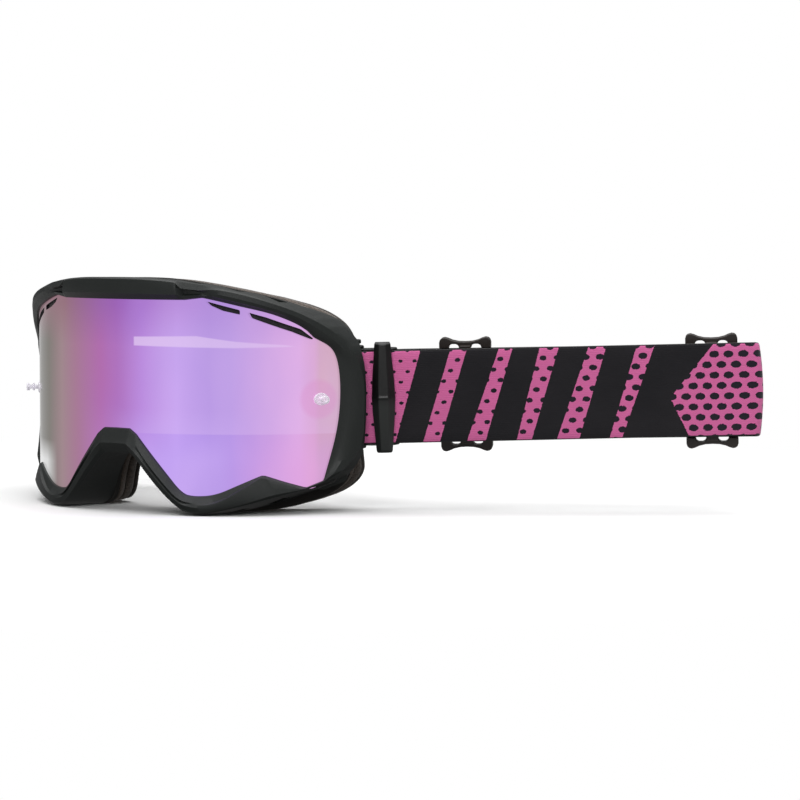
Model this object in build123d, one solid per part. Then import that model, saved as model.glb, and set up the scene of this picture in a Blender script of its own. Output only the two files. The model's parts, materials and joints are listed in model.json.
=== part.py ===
from build123d import *

import math
import os

# Motocross goggles: a wrapped frame with a cylindrical mirrored lens, three-layer face foam,
# two strap outriggers on hinge pins, and a two-piece elastic strap held by two sliders.
#
# Units are millimetres. +X is the wearer's left, -Y is the front, +Z is up. The origin is the
# centre of the lens's front surface, level with the two tear-off posts. The lens is part of a
# vertical cylinder, and every wrapped piece is a front outline cut through curved shells.

# Lens: a bent sheet, so its front surface is a plain vertical cylinder.
LENS_RADIUS = 94.0
LENS_THICKNESS = 1.2
LENS_UNDER_LIP = 2.6
GASKET_THICKNESS = 1.4
FIT_GAP = 0.1

# Frame: shells measured outwards from the lens's cylinder.
LIP_PROUD = 4.0
SEAT_THICKNESS = 2.0
WALL = 2.4
SIDE_FRONT = (90.4, 57.4)
SIDE_REAR = (77.0, 77.5)
# The frame's top and bottom fall away towards the face: Y and Z down the side profile, front to back.
TOP_FALL = [(-15.0, 60.0), (19.0, 53.2), (38.0, 46.7), (50.0, 39.3), (58.0, 33.5), (84.0, 31.9)]
BOTTOM_FALL = [(84.0, -31.7), (63.0, -33.7), (56.0, -40.3), (46.0, -46.9), (36.0, -51.3), (-15.0, -60.0)]
REST_Z = -49.2

# Face side: the rear surface is a shallower cylinder, and the layers are stacked in front of it.
FACE_RADIUS = 95.0
FACE_DEPTH = 38.0
FLEECE = 3.0
FOAM_SOFT = 6.0
FOAM_FIRM = 5.0
FLANGE = 3.0
FOAM_WIDTH = 9.5

# Outrigger hinges and strap.
HINGE = (82.0, 62.9)
HINGE_TURN_RIGHT = 24.0
STRAP_HEADING = 34.0
STRAP_TILT = 2.3
STRAP_WIDTH = 40.0
STRAP_THICKNESS = 1.5
LAYER_GAP = 0.4
TUBE_RADIUS = 3.0
PIN_RADIUS = 1.2
PIN_CLEARANCE = 0.05
PIN_LENGTH = 49.6
RING_HALF = 22.2
POCKET_HALF = 22.8
BAR_HALF = 23.85
BAR_ROOM = 24.8
BAR_CENTRE = 10.9
BAR_TIP = 1.6
BAR_EDGE = 1.2
LUG_END = 25.2
LUG_REACH = 4.7
LOOP_LENGTH = 27.0
LOOP_GAP = 1.5
FOLD_AT = 168.6
FOLD_RADIUS = 3.2
FAR_HEADING = 28.6
# The far half hangs a little lower than the near half, because the fold is slightly twisted.
FAR_DROP = 1.25

# Sliders, as distances back along the far strap half from the fold.
SLIDER_REAR_AT = 16.6
SLIDER_FRONT_AT = 122.8
STRAP_TAIL = 13.0
OVERLAP_LEAD = 23.2
SLIDER_LENGTH = 22.4
SLIDER_HALF = 24.8
SLIDER_SKIN = 1.5

# Tear-off posts.
POST_ANGLE = 55.8
POST_HEAD_RADIUS = 1.7
POST_SHAFT_RADIUS = 1.0
POST_FLANGE_RADIUS = 3.5
POST_SHANK_RADIUS = 1.5
POST_REACH = 6.4

# Front outlines, right half from the top centre line to the bottom one: x, z, corner radius.
OUTER = [
    (20, 52.0, 60), (52, 47.4, 60), (76, 38.0, 14), (86.0, 27.6, 12), (90.4, 10, 30),
    (90.4, -12, 30), (87.6, -29, 10), (75, -41.6, 20), (55, REST_Z, 8), (35, REST_Z, 4),
    (27, -44.5, 5), (13.5, -30.0, 5), (8.5, -23.4, 3),
]
OPENING = [
    (33, 42.2, 2), (39.3, 43.2, 3), (64, 36.6, 8), (73.4, 30.6, 1.5), (76, 26.3, 1.5),
    (80.8, 22.2, 3), (82.7, 8, 30), (82, -14, 20), (78.6, -34.4, 1.5), (71.1, -36.8, 2),
    (60.8, -31.8, 1.5), (44, -40.6, 8), (31.5, -40.6, 5), (10, -14.8, 1.5), (7.2, -12.7, 1.5),
]
# The face side is narrower, to sit inside the temples, and its nose notch is wider.
FACE_OUTER = [
    (12, 51.0, 60), (53, 43.6, 50), (70.6, 35.8, 9), (76.2, 22, 14), (77.2, 6, 40),
    (77.2, -16, 30), (77.6, -33.6, 9), (70, -43.6, 14), (54, REST_Z, 8), (23.5, REST_Z, 6),
    (18.0, -33.0, 12), (9, -20.5, 4),
]
SLOT_INNER = [(40.5, 41.9), (53.4, 38.0), (53.4, 35.9), (46.6, 37.7), (42.2, 39.9)]
SLOT_OUTER = [
    (55.8, 37.2), (62.4, 34.8), (72.4, 29.9), (76.0, 25.6), (74.7, 25.3), (69.2, 28.7), (56.8, 34.6),
]
# The filter strip that covers both slots from behind.
SLOT_COVER = [
    (38, 43.6), (56, 39.8), (66, 36.0), (75, 30.6), (79, 23.6),
    (74.6, 22.6), (66, 27.6), (55, 33), (41, 37),
]
SLOT_FOAM = 3.0

# Vents through the outer wall: X and Y of each one's centre on the left, and the size of its opening.
TOP_VENTS = [(14, 11.5), (30, 14.5), (46, 21.5), (60, 31.0)]
TOP_VENT_SIZE = (11, 6)
BOTTOM_VENTS = [(46, 25.0), (60, 35.0)]
BOTTOM_VENT_SIZE = (9, 6)
VENT_FOAM_THICKNESS = 2.1

FRONT_Y = -12.0
BACK_Y = 100.0
TALL = 160.0


def prism(wire_or_face):
    """A solid along Y from a sketch drawn in X and Z."""
    face = Plane.XZ.offset(-BACK_Y) * wire_or_face
    return extrude(face, BACK_Y - FRONT_Y, dir=(0, -1, 0))


def outline(half, grow=0.0):
    """The closed mirrored outline of a half list of rounded corners, grown or shrunk, as a prism."""
    corners = [(x, z) for x, z, _ in half] + [(-x, z) for x, z, _ in reversed(half)]
    radii = [r for _, _, r in half] + [r for _, _, r in reversed(half)]
    face = make_face(Polyline(*corners, close=True))
    for (x, z), radius in zip(corners, radii):
        vertex = face.vertices().sort_by_distance((x, z, 0))[0]
        face = fillet(vertex, radius)
    if grow:
        face = offset(face, grow, kind=Kind.INTERSECTION)
    return prism(face)


def drum(radius, centre_y=LENS_RADIUS):
    """A tall vertical cylinder."""
    return Pos(0, centre_y, 0) * Cylinder(radius, TALL)


def lens_shell(outer, inner):
    """The space between two cylinders about the lens's axis, as heights over its front surface."""
    return drum(LENS_RADIUS + outer) - drum(LENS_RADIUS + inner)


def plan(points, low=-TALL / 2, high=TALL / 2):
    """A vertical prism from plan points."""
    return extrude(Pos(0, 0, low) * make_face(Polyline(*points, close=True)), high - low)


def envelope(inset=0.0):
    """The frame's plan shape: straight sides that turn in towards the temples."""
    (fx, fy), (rx, ry) = SIDE_FRONT, SIDE_REAR
    front_x, rear_x = fx - inset, rx - inset * 1.2
    half = [(front_x, FRONT_Y), (front_x, fy - inset * 0.4), (rear_x, ry), (rear_x, BACK_Y)]
    return plan(half + [(-x, y) for x, y in reversed(half)])


def in_front_of_face(depth_from_face):
    """Everything in front of the face surface, moved forwards by a depth."""
    return plan([(-120, -40), (120, -40), (120, 120), (-120, 120)]) - drum(
        FACE_RADIUS, FACE_DEPTH + FACE_RADIUS - depth_from_face
    )


def falling_edges():
    """The space that the frame's top and bottom stay within."""
    profile = Plane.YZ.offset(-120) * make_face(Polyline(*TOP_FALL, *BOTTOM_FALL, close=True))
    return extrude(profile, 240, dir=(1, 0, 0))


def both_sides(part):
    """A part and its mirror image."""
    return part + mirror(part, Plane.YZ)


def strap_plane(part):
    """Tips a part made level into the strap's plane, about the line through both hinges."""
    return part.rotate(Axis((0, HINGE[1], 0), (1, 0, 0)), STRAP_TILT)


def beside_hinge(part):
    """Moves a part made at the hinge, with the strap running along +X, to the left hinge."""
    return Pos(HINGE[0], HINGE[1], 0) * Rot(0, 0, STRAP_HEADING) * part


def hinge_side(part):
    """The left outrigger's part in place."""
    return strap_plane(beside_hinge(part))


def other_hinge_side(part):
    """The right outrigger's part in place: the mirror image, turned in behind the frame."""
    mirrored = mirror(beside_hinge(part), Plane.YZ)
    turned = mirrored.rotate(Axis((-HINGE[0], HINGE[1], 0), (0, 0, 1)), -HINGE_TURN_RIGHT)
    return strap_plane(turned)


def hinge_pocket():
    """Room for an outrigger to turn in, open to the side and the back, for both sides."""
    x, y = HINGE
    pocket = []
    for inner_x, half in ((x - 5.8, POCKET_HALF), (x + LUG_REACH, BAR_ROOM)):
        corners = [(inner_x, y - 4.9), (x + 40, y - 4.9), (x + 40, y + 40), (inner_x, y + 40)]
        pocket.append(plan(corners, -half, half))
    return strap_plane(both_sides(pocket[0] + pocket[1]))


def frame():
    """The outer frame: front lip over the lens, lens pocket, seat, outer wall, vents and hinge lugs."""
    rear_face = in_front_of_face(FLEECE + FOAM_SOFT + FOAM_FIRM + FLANGE + FIT_GAP)
    hull = outline(OUTER) & envelope() & drum(LENS_RADIUS + LIP_PROUD) & rear_face & falling_edges()
    seat_top = -(LENS_THICKNESS + GASKET_THICKNESS + 2 * FIT_GAP)
    x, y = HINGE
    outer_x = x + LUG_REACH
    lug_plan = [(x - 8.2, y - 8), (outer_x, y - 8), (outer_x, y + 40), (x - 8.2, y + 40)]
    lug_block = plan(lug_plan, -LUG_END, LUG_END)
    cavity = outline(OUTER, -WALL) & envelope(WALL) & drum(LENS_RADIUS + seat_top - SEAT_THICKNESS)
    cavity -= both_sides(lug_block)
    body = hull - cavity - outline(OPENING)
    body -= outline(OPENING, LENS_UNDER_LIP + 0.2) & lens_shell(FIT_GAP, seat_top)
    body -= hinge_pocket()
    body -= strap_plane(both_sides(Pos(x, y, 0) * Cylinder(PIN_RADIUS + PIN_CLEARANCE, PIN_LENGTH + 0.4)))
    for vent_x, vent_y in TOP_VENTS:
        body -= both_sides(Pos(vent_x, vent_y, 48) * Box(*TOP_VENT_SIZE, 40))
    for vent_x, vent_y in BOTTOM_VENTS:
        body -= both_sides(Pos(vent_x, vent_y, -44) * Box(*BOTTOM_VENT_SIZE, 20))
    return body.solids().sort_by(SortBy.VOLUME)[-1]


def face_frame():
    """The soft inner frame: a flange behind the outer frame that carries the foam."""
    front = in_front_of_face(FLEECE + FOAM_SOFT + FOAM_FIRM + FLANGE)
    rear = in_front_of_face(FLEECE + FOAM_SOFT + FOAM_FIRM + FIT_GAP)
    ring = outline(FACE_OUTER) - outline(FACE_OUTER, -FOAM_WIDTH - 1)
    return ring & envelope() & (rear - front) - hinge_pocket()


def foam_layer(front_depth, rear_depth, inset):
    """One layer of the face foam between two depths in front of the face surface."""
    ring = outline(FACE_OUTER, -inset) - outline(FACE_OUTER, inset - FOAM_WIDTH)
    slab = in_front_of_face(rear_depth + FIT_GAP) - in_front_of_face(front_depth)
    return ring & envelope(inset) & slab - hinge_pocket()


def slot_prism(points):
    """A vent slot through the lens, on both sides."""
    return prism(make_face(Polyline(*points, close=True))) + prism(
        make_face(Polyline(*[(-x, z) for x, z in points], close=True))
    )


def at_post(part):
    """Places a part made along +Z so that +Z is the lens's outward normal at the left post."""
    angle = math.radians(POST_ANGLE)
    x = LENS_RADIUS * math.sin(angle)
    y = LENS_RADIUS * (1 - math.cos(angle))
    normal = (math.sin(angle), -math.cos(angle), 0)
    return Plane(origin=(x, y, 0), x_dir=(0, 0, 1), z_dir=normal) * part


def lens():
    """The curved lens with two vent slots a side and the holes for the posts."""
    sheet = outline(OPENING, LENS_UNDER_LIP) & lens_shell(0, -LENS_THICKNESS)
    sheet -= slot_prism(SLOT_INNER) + slot_prism(SLOT_OUTER)
    sheet -= both_sides(at_post(Cylinder(POST_SHANK_RADIUS + 0.15, 12)))
    return sheet


def lens_vent_foam():
    """The filter strips behind the lens's slots."""
    front = -LENS_THICKNESS - FIT_GAP
    return slot_prism(SLOT_COVER) & outline(OPENING, -0.4) & lens_shell(front, front - SLOT_FOAM)


def lens_gasket():
    """The foam seal between the lens and the frame's seat."""
    back = -LENS_THICKNESS - FIT_GAP
    band = outline(OPENING, LENS_UNDER_LIP) - outline(OPENING, 0.3)
    return band & lens_shell(back, back - GASKET_THICKNESS) - hinge_pocket()


def disc(radius, low, high):
    """A disc on the Z axis between two heights."""
    return Pos(0, 0, (low + high) / 2) * Cylinder(radius, high - low)


def tearoff_post():
    """A stepped post: flange on the lens, two collars on a thin shaft, and a shank through the lens."""
    post = disc(POST_FLANGE_RADIUS, FIT_GAP, 1.1) + disc(POST_SHAFT_RADIUS, 1.0, POST_REACH)
    post += disc(POST_HEAD_RADIUS, 2.8, 3.8) + disc(POST_HEAD_RADIUS, POST_REACH - 1.4, POST_REACH)
    return post + disc(POST_SHANK_RADIUS, -3.6, 0.5)


def post_clip():
    """The push-on washer that holds a post from inside the lens."""
    return disc(3.2, -2.7, -1.5) - disc(POST_SHANK_RADIUS + 0.02, -3, 0)


def outrigger():
    """The ring that the strap end threads: a tube on the hinge pin, two arms and an inner bar."""
    outer_y = strap_line_y()
    tube = Cylinder(TUBE_RADIUS, 2 * RING_HALF) - Cylinder(PIN_RADIUS + PIN_CLEARANCE, 2 * RING_HALF + 2)
    arm_plan = [(-2.4, -2.6), (5.5, outer_y - 0.9), (16.5, outer_y - 0.9), (17.5, 1.2), (12, 2.6), (0, 3.0)]
    arm_low = STRAP_WIDTH / 2 + 0.6
    arm = plan(arm_plan, arm_low, RING_HALF) - Cylinder(PIN_RADIUS + PIN_CLEARANCE, 80)
    inner_bar = plan([(12.2, 0.0), (17.2, 0.0), (16.6, 2.2), (12.6, 2.2)], -RING_HALF, RING_HALF)
    return tube + arm + mirror(arm, Plane.XY) + inner_bar


def strap_line_y():
    """Where the outer strap layer's middle runs beside the hinge tube, outwards being negative."""
    return -(TUBE_RADIUS + FIT_GAP + STRAP_THICKNESS / 2)


def keeper_bar():
    """The faceted bar that snaps over the outrigger's arms outside the strap, widest at its middle."""
    base = strap_line_y() - 1.0
    half_length = BAR_HALF - BAR_TIP

    def ring(half, proud):
        """The bar's cross-section: flat inside, with a shoulder each side of a ridge."""
        left, right = BAR_CENTRE - half, BAR_CENTRE + half
        corners = [(left, base), (left, base - BAR_EDGE), (BAR_CENTRE, base - proud)]
        return make_face(Polyline(*corners, (right, base - BAR_EDGE), (right, base), close=True))

    end, middle = (3.3, 2.6), (5.0, 4.4)
    stations = ((-half_length, end), (0, middle), (half_length, end))
    bar = loft([Pos(0, 0, z) * ring(*size) for z, size in stations], ruled=True)
    for side in (-1, 1):
        bar += extrude(Pos(0, 0, side * half_length) * ring(*end), BAR_TIP, dir=(0, 0, side), taper=30)
    return bar


def ribbon(points, thickness, low, high):
    """A band of even thickness along plan points, standing on edge between two heights."""
    left, right = [], []
    for i, (x, y) in enumerate(points):
        ax, ay = points[max(i - 1, 0)]
        bx, by = points[min(i + 1, len(points) - 1)]
        span = math.hypot(bx - ax, by - ay)
        nx, ny = -(by - ay) / span * thickness / 2, (bx - ax) / span * thickness / 2
        left.append((x + nx, y + ny))
        right.append((x - nx, y - ny))
    ends = Line(left[-1], right[-1]) + Line(right[0], left[0])
    face = make_face(Polyline(*left) + Polyline(*reversed(right)) + ends)
    return extrude(Pos(0, 0, low) * face, high - low)


def strap_band(points, drop=0.0):
    """A full-width strap layer along plan points, hung lower by a drop."""
    return ribbon(points, STRAP_THICKNESS, -STRAP_WIDTH / 2 - drop, STRAP_WIDTH / 2 - drop)


def end_loop():
    """Plan points, in the left hinge's own frame, of a strap end sewn round the hinge tube.

    They run from the tab inside the strap, round the tube, to the outer layer beside it.
    """
    r = TUBE_RADIUS + FIT_GAP + STRAP_THICKNESS / 2
    tab_y = strap_line_y() + STRAP_THICKNESS + 0.1
    tab = [(LOOP_LENGTH - 2, tab_y), (10.5, tab_y), (8.0, tab_y + 1.2), (5.5, r - 2.6), (2.5, r - 0.5)]
    wrap = [(r * math.cos(math.radians(a)), r * math.sin(math.radians(a))) for a in range(-270, -89, 15)]
    return tab + wrap


def strap_end():
    """The second strap's sewn end, which turns with its outrigger."""
    return strap_band(end_loop() + [(LOOP_LENGTH / 2, strap_line_y()), (LOOP_LENGTH, strap_line_y())])


def heading(degrees):
    """A unit vector in plan."""
    return math.cos(math.radians(degrees)), math.sin(math.radians(degrees))


def along(start, degrees, distance, aside=0.0):
    """A plan point at a distance from start along a heading, and aside to its left."""
    dx, dy = heading(degrees)
    return start[0] + dx * distance - dy * aside, start[1] + dy * distance + dx * aside


def bezier(p0, p1, p2, p3, steps=14):
    """Plan points on a cubic curve."""
    made = []
    for i in range(1, steps + 1):
        t = i / steps
        a, b, c, d = (1 - t) ** 3, 3 * t * (1 - t) ** 2, 3 * t * t * (1 - t), t ** 3
        made.append(tuple(a * p0[k] + b * p1[k] + c * p2[k] + d * p3[k] for k in (0, 1)))
    return made


def fold_start():
    """Where the near half of the strap ends and its fold begins."""
    return along(HINGE, STRAP_HEADING, FOLD_AT, strap_line_y())


def far_point(back_from_fold, layer=0.0):
    """A point on the far half, at a distance back from the fold, and outwards by layer."""
    centre = along(fold_start(), STRAP_HEADING, 0, FOLD_RADIUS)
    top = along(centre, FAR_HEADING, 0, FOLD_RADIUS)
    return along(top, FAR_HEADING, -back_from_fold, layer)


def layer_step():
    """The distance between the middles of two strap layers that lie together."""
    return STRAP_THICKNESS + LAYER_GAP


def strap_long():
    """The main strap: sewn round the left outrigger, out to the fold, and back through both sliders."""
    loop = [along(HINGE, STRAP_HEADING, x, y) for x, y in end_loop()]
    centre = along(fold_start(), STRAP_HEADING, 0, FOLD_RADIUS)
    first, last = STRAP_HEADING - 90, FAR_HEADING + 90
    turn = [along(centre, first + (last - first) * i / 12, FOLD_RADIUS) for i in range(13)]
    into_fold, tail = far_point(-0.3), far_point(SLIDER_FRONT_AT + STRAP_TAIL)
    return strap_plane(strap_band(loop + turn) + strap_band([into_fold, tail], FAR_DROP))


def strap_short_rear():
    """The second strap's straight length, which lies on the main strap between the sliders."""
    front = far_point(SLIDER_FRONT_AT + OVERLAP_LEAD, layer_step())
    rear = far_point(SLIDER_REAR_AT - STRAP_TAIL, layer_step())
    return strap_plane(strap_band([front, rear], FAR_DROP))


def strap_short_across():
    """The second strap's length behind the face, from beside the right outrigger towards the sliders."""
    right_heading = 180 - STRAP_HEADING - HINGE_TURN_RIGHT
    right_hinge = (-HINGE[0], HINGE[1])
    start = along(right_hinge, right_heading, LOOP_LENGTH + LOOP_GAP, -strap_line_y())
    middle = (-28.0, 113.0)
    meet = (70.0, 80.5)
    out_of_hinge = bezier(start, along(start, right_heading, 26), along(middle, 180, 38), middle)
    across = bezier(middle, along(middle, 0, 36), along(meet, 178, 34), meet)
    return strap_plane(strap_band([start] + out_of_hinge + across))


def grip_lines():
    """Three silicone lines on the inside of the near half, which stop the strap slipping on a helmet."""
    depth = strap_line_y() + STRAP_THICKNESS / 2 + 0.25
    ends = [along(HINGE, STRAP_HEADING, at, depth) for at in (40, FOLD_AT - 14)]
    top, middle, bottom = [ribbon(ends, 0.4, z - 1.1, z + 1.1) for z in (12, 0, -12)]
    return strap_plane(top + middle + bottom)


def slider():
    """A three-bar slider made along X: two outer side bars, one inner centre bar, and horned ends."""
    half, x = SLIDER_HALF, SLIDER_LENGTH / 2
    channel = STRAP_THICKNESS + LAYER_GAP / 2 + 0.2
    total = channel + SLIDER_SKIN
    horn = [(-x, half - 6), (-x + 0.6, half - 1.2), (-x + 3.2, half), (-x + 6.4, half - 1.3)]
    top = horn + [(0, half - 2.3)]
    edge = top + [(-px, pz) for px, pz in reversed(top[:-1])]
    ring = edge + [(px, -pz) for px, pz in reversed(edge)]
    face = Plane.XZ.offset(-total) * make_face(Polyline(*ring, close=True))
    plate = extrude(face, 2 * total, dir=(0, -1, 0))
    plate -= Box(2 * x + 2, 2 * channel, STRAP_WIDTH + 0.6)
    for side in (-1, 1):
        slot = make_face(SlotOverall(2 * 21.3, 5.4, rotation=90).wire())
        plate -= extrude(Plane.XZ.offset(-10) * Pos(side * 4.85, 0) * slot, 20, dir=(0, -1, 0))
        plate -= Pos(side * 9.5, -total, 0) * Box(5, 2 * SLIDER_SKIN, STRAP_WIDTH + 0.6)
    plate -= Pos(0, total, 0) * Box(6, 2 * SLIDER_SKIN, STRAP_WIDTH + 0.6)
    edges = plate.edges().filter_by(Axis.Y).filter_by(lambda e: abs(e.center().Z) > 21.5)
    return fillet(edges, 0.5)


def slider_in_place(back_from_fold):
    """A slider on the two layers of the far half."""
    x, y = far_point(back_from_fold, layer_step() / 2)
    return strap_plane(Pos(x, y, -FAR_DROP) * Rot(0, 0, FAR_HEADING) * slider())


def hinge_pin():
    """The steel pin of an outrigger's hinge."""
    return Cylinder(PIN_RADIUS, PIN_LENGTH)


def vent_foam(z_sign):
    """The filter pads inside the vents, under the outer wall, at the top or at the bottom."""
    slab = in_front_of_face(FLEECE + FOAM_SOFT + FOAM_FIRM + FLANGE + 1) & drum(LENS_RADIUS - 6)
    band = outline(OUTER, -WALL - FIT_GAP) - outline(OUTER, -WALL - VENT_FOAM_THICKNESS - FIT_GAP)
    near, far = (5, 68) if z_sign > 0 else (39, 68)
    heights = (20, 70) if z_sign > 0 else (-70, -30)
    reach = both_sides(plan([(near, 0), (far, 0), (far, 90), (near, 90)], *heights))
    return band & slab & envelope(WALL + FIT_GAP) & reach


def parts():
    """Every node's name and shape."""
    depth = FLEECE + FOAM_SOFT + FOAM_FIRM
    post = tearoff_post()
    return {
        "frame": frame,
        "face_frame": face_frame,
        "lens": lens,
        "lens_gasket": lens_gasket,
        "lens_vent_foam": lens_vent_foam,
        "tearoff_post_left": lambda: at_post(post),
        "tearoff_post_right": lambda: mirror(at_post(post), Plane.YZ),
        "post_clip_left": lambda: at_post(post_clip()),
        "post_clip_right": lambda: mirror(at_post(post_clip()), Plane.YZ),
        "foam_firm": lambda: foam_layer(depth, FLEECE + FOAM_SOFT, 0.6),
        "foam_soft": lambda: foam_layer(FLEECE + FOAM_SOFT, FLEECE, 0.6),
        "foam_fleece": lambda: foam_layer(FLEECE, 0, 1.4),
        "vent_foam_top": lambda: vent_foam(1),
        "vent_foam_bottom": lambda: vent_foam(-1),
        "outrigger_left": lambda: hinge_side(outrigger()),
        "outrigger_right": lambda: other_hinge_side(outrigger()),
        "keeper_bar_left": lambda: hinge_side(keeper_bar()),
        "keeper_bar_right": lambda: other_hinge_side(keeper_bar()),
        "hinge_pin_left": lambda: hinge_side(hinge_pin()),
        "hinge_pin_right": lambda: other_hinge_side(hinge_pin()),
        "strap_long": strap_long,
        "strap_short_rear": strap_short_rear,
        "strap_short_across": strap_short_across,
        "strap_short_end": lambda: other_hinge_side(strap_end()),
        "grip_lines": grip_lines,
        "slider_front": lambda: slider_in_place(SLIDER_FRONT_AT),
        "slider_rear": lambda: slider_in_place(SLIDER_REAR_AT),
    }


def main():
    """Writes one STEP file per node."""
    os.makedirs("parts", exist_ok=True)
    for name, build in parts().items():
        export_step(build(), f"parts/{name}.step")


if __name__ == "__main__":
    main()
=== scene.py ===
"""Looks for the off-road goggles: sculpted frame, mirror lens, sewn foam, printed strap and fittings.

Work is in millimetres in the row frame (+X wearer's left, -Y front, +Z up) and scaled to metres
when a mesh is made. The lens is a vertical cylinder of radius LENS_R that touches y = 0 at its centre.
"""

import functools
import json
import math

import bmesh
import bpy
from mathutils import Matrix, Vector, noise


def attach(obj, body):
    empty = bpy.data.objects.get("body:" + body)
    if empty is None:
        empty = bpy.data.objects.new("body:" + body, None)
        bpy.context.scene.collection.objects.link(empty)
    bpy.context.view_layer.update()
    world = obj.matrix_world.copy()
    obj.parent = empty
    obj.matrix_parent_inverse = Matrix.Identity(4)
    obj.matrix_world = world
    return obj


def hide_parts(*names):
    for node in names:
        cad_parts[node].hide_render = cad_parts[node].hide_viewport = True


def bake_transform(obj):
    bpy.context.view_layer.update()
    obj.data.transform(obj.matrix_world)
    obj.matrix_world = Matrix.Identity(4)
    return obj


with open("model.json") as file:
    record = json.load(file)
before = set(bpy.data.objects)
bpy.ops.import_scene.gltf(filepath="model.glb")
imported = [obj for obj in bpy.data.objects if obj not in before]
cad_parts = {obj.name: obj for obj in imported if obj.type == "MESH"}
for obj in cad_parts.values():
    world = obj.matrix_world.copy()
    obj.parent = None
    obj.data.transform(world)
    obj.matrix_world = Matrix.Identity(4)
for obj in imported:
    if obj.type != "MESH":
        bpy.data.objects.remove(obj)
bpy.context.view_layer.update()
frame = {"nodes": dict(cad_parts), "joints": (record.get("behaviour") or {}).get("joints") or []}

MM = 0.001
LENS_R = 94.0
LENS_THICK = 1.2
JOINTS = {j["name"]: j for j in frame["joints"]}
HINGE_X, HINGE_Y, _ = [c / MM for c in JOINTS["left_hinge"]["pos_m"]]
TILT = math.atan2(-JOINTS["left_hinge"]["axis"][1], JOINTS["left_hinge"]["axis"][2])
FAR_AXIS = Vector(JOINTS["rear_slide"]["axis"])
STRAP_HEADING = math.radians(34.0)
FAR_HEADING = math.atan2(FAR_AXIS.y / math.cos(TILT), FAR_AXIS.x)
RIGHT_TURN = math.radians(24.0)
STRAP_HALF = 20.0
STRAP_THICK = 1.5
TUBE_R = 3.0
OUTER_LAYER = -(TUBE_R + 0.1 + STRAP_THICK / 2)
TAB_LAYER = OUTER_LAYER + STRAP_THICK + 0.1
FOLD_AT = 168.6
FOLD_R = 3.2
LAYER_STEP = 1.9
FAR_DROP = 1.25
FAR_END = 135.8
FRONT_SLIDER_AT = 122.8
REAR_SLIDER_AT = 16.6
REST_Z = -49.2


# ---------------------------------------------------------------- mesh helpers


def link(name, data):
    """A new object in the scene."""
    obj = bpy.data.objects.new(name, data)
    bpy.context.scene.collection.objects.link(obj)
    return obj


def new_object(name, verts, faces, material=None):
    """A smooth mesh object from points in millimetres."""
    mesh = bpy.data.meshes.new(name)
    mesh.from_pydata([(x * MM, y * MM, z * MM) for x, y, z in verts], [], faces)
    mesh.validate()
    mesh.update()
    if material:
        mesh.materials.append(material)
    mesh.shade_smooth()
    return link(name, mesh)


def fit(obj, body, finish, *nodes):
    """Puts a piece on its body, in place of its CAD nodes; its finish is not used."""
    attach(obj, body)
    if nodes:
        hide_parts(*nodes)


def fix_normals(obj):
    """Faces turned outwards all round."""
    bm = bmesh.new()
    bm.from_mesh(obj.data)
    bmesh.ops.recalc_face_normals(bm, faces=bm.faces)
    bm.to_mesh(obj.data)
    bm.free()


def bevel(obj, width, segments, angle):
    """Rounded edges with flat faces kept flat."""
    mod = obj.modifiers.new("edges", "BEVEL")
    mod.width = width * MM
    mod.segments = segments
    mod.limit_method = "ANGLE"
    mod.angle_limit = math.radians(angle)
    mod.harden_normals = True
    mod.use_clamp_overlap = True


def smooth_by_angle(obj, angle):
    """Smooth shading that breaks at edges sharper than an angle."""
    obj.data.set_sharp_from_angle(angle=math.radians(angle))


def apply_modifiers(obj):
    """Leaves the object's mesh as its modifiers make it."""
    graph = bpy.context.evaluated_depsgraph_get()
    made = bpy.data.meshes.new_from_object(obj.evaluated_get(graph), depsgraph=graph)
    obj.modifiers.clear()
    old = obj.data
    obj.data = made
    bpy.data.meshes.remove(old)


def side_faces(rows, cols, closed=False):
    """Quads between the rings of a stack, and back to the first ring if it is closed."""
    faces = []
    for i in range(rows if closed else rows - 1):
        here, above = i * cols, (i + 1) % rows * cols
        for j in range(cols):
            k = (j + 1) % cols
            faces.append((here + j, here + k, above + k, above + j))
    return faces


def skin_faces(rows, cols, first=0):
    """Faces of a closed skin over a stack of point rings from a first vertex on: the sides, then two ends."""
    ends = [range(cols), reversed(range((rows - 1) * cols, rows * cols))]
    faces = side_faces(rows, cols) + [tuple(end) for end in ends]
    return [tuple(first + i for i in face) for face in faces]


def stacked(name, stacks, place, material, angle=25):
    """One mesh of solids, each a skin over a stack of point rings, with its points placed by a function."""
    verts, faces = [], []
    for rings in stacks:
        faces += skin_faces(len(rings), len(rings[0]), len(verts))
        verts += [place(p) for ring in rings for p in ring]
    obj = new_object(name, verts, faces, material)
    fix_normals(obj)
    smooth_by_angle(obj, angle)
    return obj


def mirrored_loop(half, flip):
    """A closed list from a half list and its mirror image, without repeating the two end items."""
    return half + [flip(item) for item in half[-2:0:-1]]


def on_lens(x, z, height=0.0):
    """The point over the lens's front surface at a front-view place."""
    r = LENS_R + height
    return (x, LENS_R - math.sqrt(max(r * r - x * x, 0.0)), z)


def lerp(a, b, t):
    """The value a share of the way from one to another."""
    return a + (b - a) * t


# ---------------------------------------------------------------- material helpers


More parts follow.
